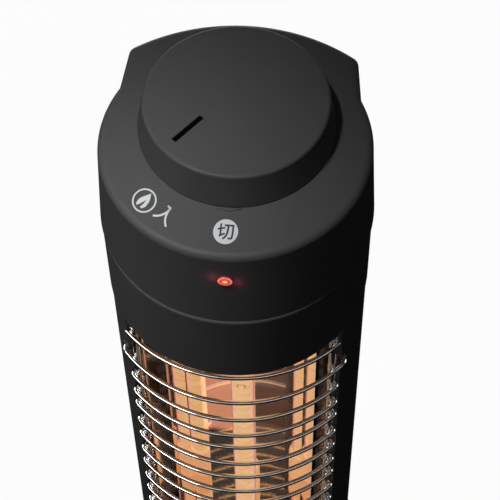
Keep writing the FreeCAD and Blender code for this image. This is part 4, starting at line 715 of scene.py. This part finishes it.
def fill_pointer():
    """Flat black filling in the dial's pointer groove."""
    left, right = POINTER_SIDE - POINTER_WIDTH / 2, POINTER_SIDE + POINTER_WIDTH / 2
    near, far = -POINTER_START, -POINTER_START - POINTER_LENGTH
    corners = [(left, far), (right, far), (right, near), (left, near)]
    mesh = flat_mesh("pointer_inlay", corners, [(0, 1, 2, 3)])
    place = DIAL_CENTRE + Vector((0, 0, DIAL_FACE_Z - POINTER_DEPTH + INLAY_RISE))
    turn = Matrix.Rotation(math.radians(POINTER_ANGLE), 4, "Z")
    mesh.transform(Matrix.Translation(place) @ turn)
    new_piece("pointer_inlay", mesh, INLAY, "dial")


def wind_filament():
    """Wound tungsten coil, in place of the plain bar."""
    low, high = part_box("filament")
    turns = (high.z - low.z) / COIL_PITCH
    count = int(turns * COIL_STEPS)
    curve = bpy.data.curves.new("filament_coil", "CURVE")
    curve.dimensions = "3D"
    curve.bevel_depth = COIL_WIRE
    curve.bevel_resolution = 1
    spline = curve.splines.new("POLY")
    spline.points.add(count)
    for i, point in enumerate(spline.points):
        turn = 2 * math.pi * i / COIL_STEPS
        x = LAMP_AXIS.x + COIL_RADIUS * math.cos(turn)
        y = LAMP_AXIS.y + COIL_RADIUS * math.sin(turn)
        point.co = (x, y, low.z + (high.z - low.z) * i / count, 1)
    coil = new_piece("filament_coil", mesh_of_curve(curve), COIL, "body")
    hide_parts("filament")


def aim(thing, place, target):
    thing.location = place
    thing.rotation_euler = (target - place).to_track_quat("-Z", "Y").to_euler()


def way_out(azimuth, elevation, distance):
    """A way out from the heater, with the azimuth counted from the front towards +X."""
    turn, rise = math.radians(azimuth), math.radians(elevation)
    flat = math.cos(rise)
    return distance * Vector((flat * math.sin(turn), -flat * math.cos(turn), math.sin(rise)))


def light_guard(lamp, state):
    """Let a light reach the chrome guard alone, or everything but the guard."""
    chosen = bpy.data.collections.new(lamp.name + "_guard")
    for name in ("guard_wires", "guard_rods"):
        chosen.objects.link(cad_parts[name])
    lamp.light_linking.receiver_collection = chosen
    for entry in chosen.collection_objects:
        entry.light_linking.link_state = state


def add_panel(name, look_at, way, size, power):
    """A rectangular panel of soft light that looks at a height on the heater's axis."""
    light = bpy.data.lights.new(name, "AREA")
    light.shape = "RECTANGLE"
    light.size, light.size_y = size
    light.energy = power
    panel = put_in_scene(name, light)
    target = Vector((0, 0, look_at))
    aim(panel, target + way_out(*way), target)
    return panel


def add_spot():
    """The main light, a lamp high on the left with a soft-edged cone."""
    light = bpy.data.lights.new("left_spot", "SPOT")
    light.spot_size = math.radians(SPOT_CONE)
    light.spot_blend = 1.0
    light.shadow_soft_size = SPOT_RADIUS
    light.energy = SPOT_POWER
    spot = put_in_scene("left_spot", light)
    head = Vector((0, 0, RING_FACE_Z))
    aim(spot, head + way_out(*SPOT_WAY), head + SPOT_AIM)
    return spot


def add_spill(place):
    """Faint red light that the pilot lens throws on the wall beside it."""
    light = bpy.data.lights.new("lens_spill", "POINT")
    light.energy = SPILL_POWER
    light.color = SPILL_COLOUR
    light.shadow_soft_size = SPILL_GAP / 2
    glow = put_in_scene("lens_spill", light)
    glow.location = (place.x, LENS_LOW.y - SPILL_GAP, place.z)
    glow.visible_camera = False
    glow.visible_glossy = False


def light_studio():
    """The main spot, which leaves the guard out, the soft panels, and the lens's spill."""
    light_guard(add_spot(), "EXCLUDE")
    for *panel, guard_alone in PANELS:
        lamp = add_panel(*panel)
        if guard_alone:
            light_guard(lamp, "INCLUDE")
    for side in (-1, 1):
        add_spill(LENS_CENTRE + Vector((side * SPILL_SIDE, 0, -side * SPILL_RISE)))


def paint_room():
    """A room that the camera sees white and every other ray sees dim, a little lighter above."""
    world = bpy.data.worlds.new("studio")
    bpy.context.scene.world = world
    world.use_nodes = True
    tree = world.node_tree
    direction = node(tree, "ShaderNodeTexCoord").outputs["Generated"]
    height = node(tree, "ShaderNodeSeparateXYZ", {0: direction}).outputs["Z"]
    sky = node(tree, "ShaderNodeMapRange",
               {"Value": height, "From Min": SKY_RISE[0], "From Max": SKY_RISE[1],
                "To Min": SKY_TONE[0], "To Max": SKY_TONE[1]})
    seen = node(tree, "ShaderNodeLightPath").outputs["Is Camera Ray"]
    tone = mix_colour(tree, seen, sky.outputs[0], (1, 1, 1, 1))
    tree.links.new(tone, tree.nodes["Background"].inputs["Color"])


def lay_floor():
    """Pale floor that the camera sees as nearly white, so that the shadow on it hardly shows."""
    corners = [(-FLOOR_REACH, -FLOOR_REACH), (FLOOR_REACH, -FLOOR_REACH),
               (FLOOR_REACH, FLOOR_REACH), (-FLOOR_REACH, FLOOR_REACH)]
    mesh = flat_mesh("floor", corners, [(0, 1, 2, 3)])
    floor = put_in_scene("floor", mesh)
    material, tree, surface = new_finish("pale_floor")
    surface.inputs["Roughness"].default_value = FLOOR_ROUGHNESS
    surface.inputs["Specular IOR Level"].default_value = FLOOR_GLOSS
    glow = node(tree, "ShaderNodeEmission", {"Color": (1, 1, 1, 1), "Strength": 1.0})
    seen = node(tree, "ShaderNodeLightPath").outputs["Is Camera Ray"]
    pale = mix_colour(tree, seen, grey(FLOOR_DIM), grey(FLOOR_PALE))
    tree.links.new(pale, surface.inputs["Base Color"])
    share = math_node(tree, "MULTIPLY", seen, FLOOR_GLOW_SHARE)
    both = node(tree, "ShaderNodeMixShader", {0: share, 1: surface.outputs[0], 2: glow.outputs[0]})
    tree.links.new(both.outputs[0], tree.nodes["Material Output"].inputs["Surface"])
    mesh.materials.append(material)


def set_camera():
    """Camera at its place, turned, tilted and rolled."""
    pitch, turn, roll = (math.radians(a) for a in (CAMERA_PITCH, CAMERA_AZIMUTH, CAMERA_ROLL))
    ahead = Vector((0, math.cos(pitch), -math.sin(pitch)))
    above = Vector((0, math.sin(pitch), math.cos(pitch)))
    right = Vector((1, 0, 0))
    rolled_right = math.cos(roll) * right + math.sin(roll) * above
    rolled_above = math.cos(roll) * above - math.sin(roll) * right
    axes = Matrix((rolled_right, rolled_above, -ahead)).transposed().to_4x4()
    camera_data = bpy.data.cameras.new("portrait")
    camera_data.sensor_width = SENSOR_WIDTH
    camera_data.lens = CAMERA_LENS
    camera = put_in_scene("portrait", camera_data)
    camera.matrix_world = Matrix.Translation(CAMERA_PLACE) @ Matrix.Rotation(turn, 4, "Z") @ axes
    bpy.context.scene.camera = camera


dress_nodes()
print_marks()
fill_pointer()
wind_filament()
light_studio()
paint_room()
lay_floor()
set_camera()
bpy.context.scene.view_settings.view_transform = "Standard"
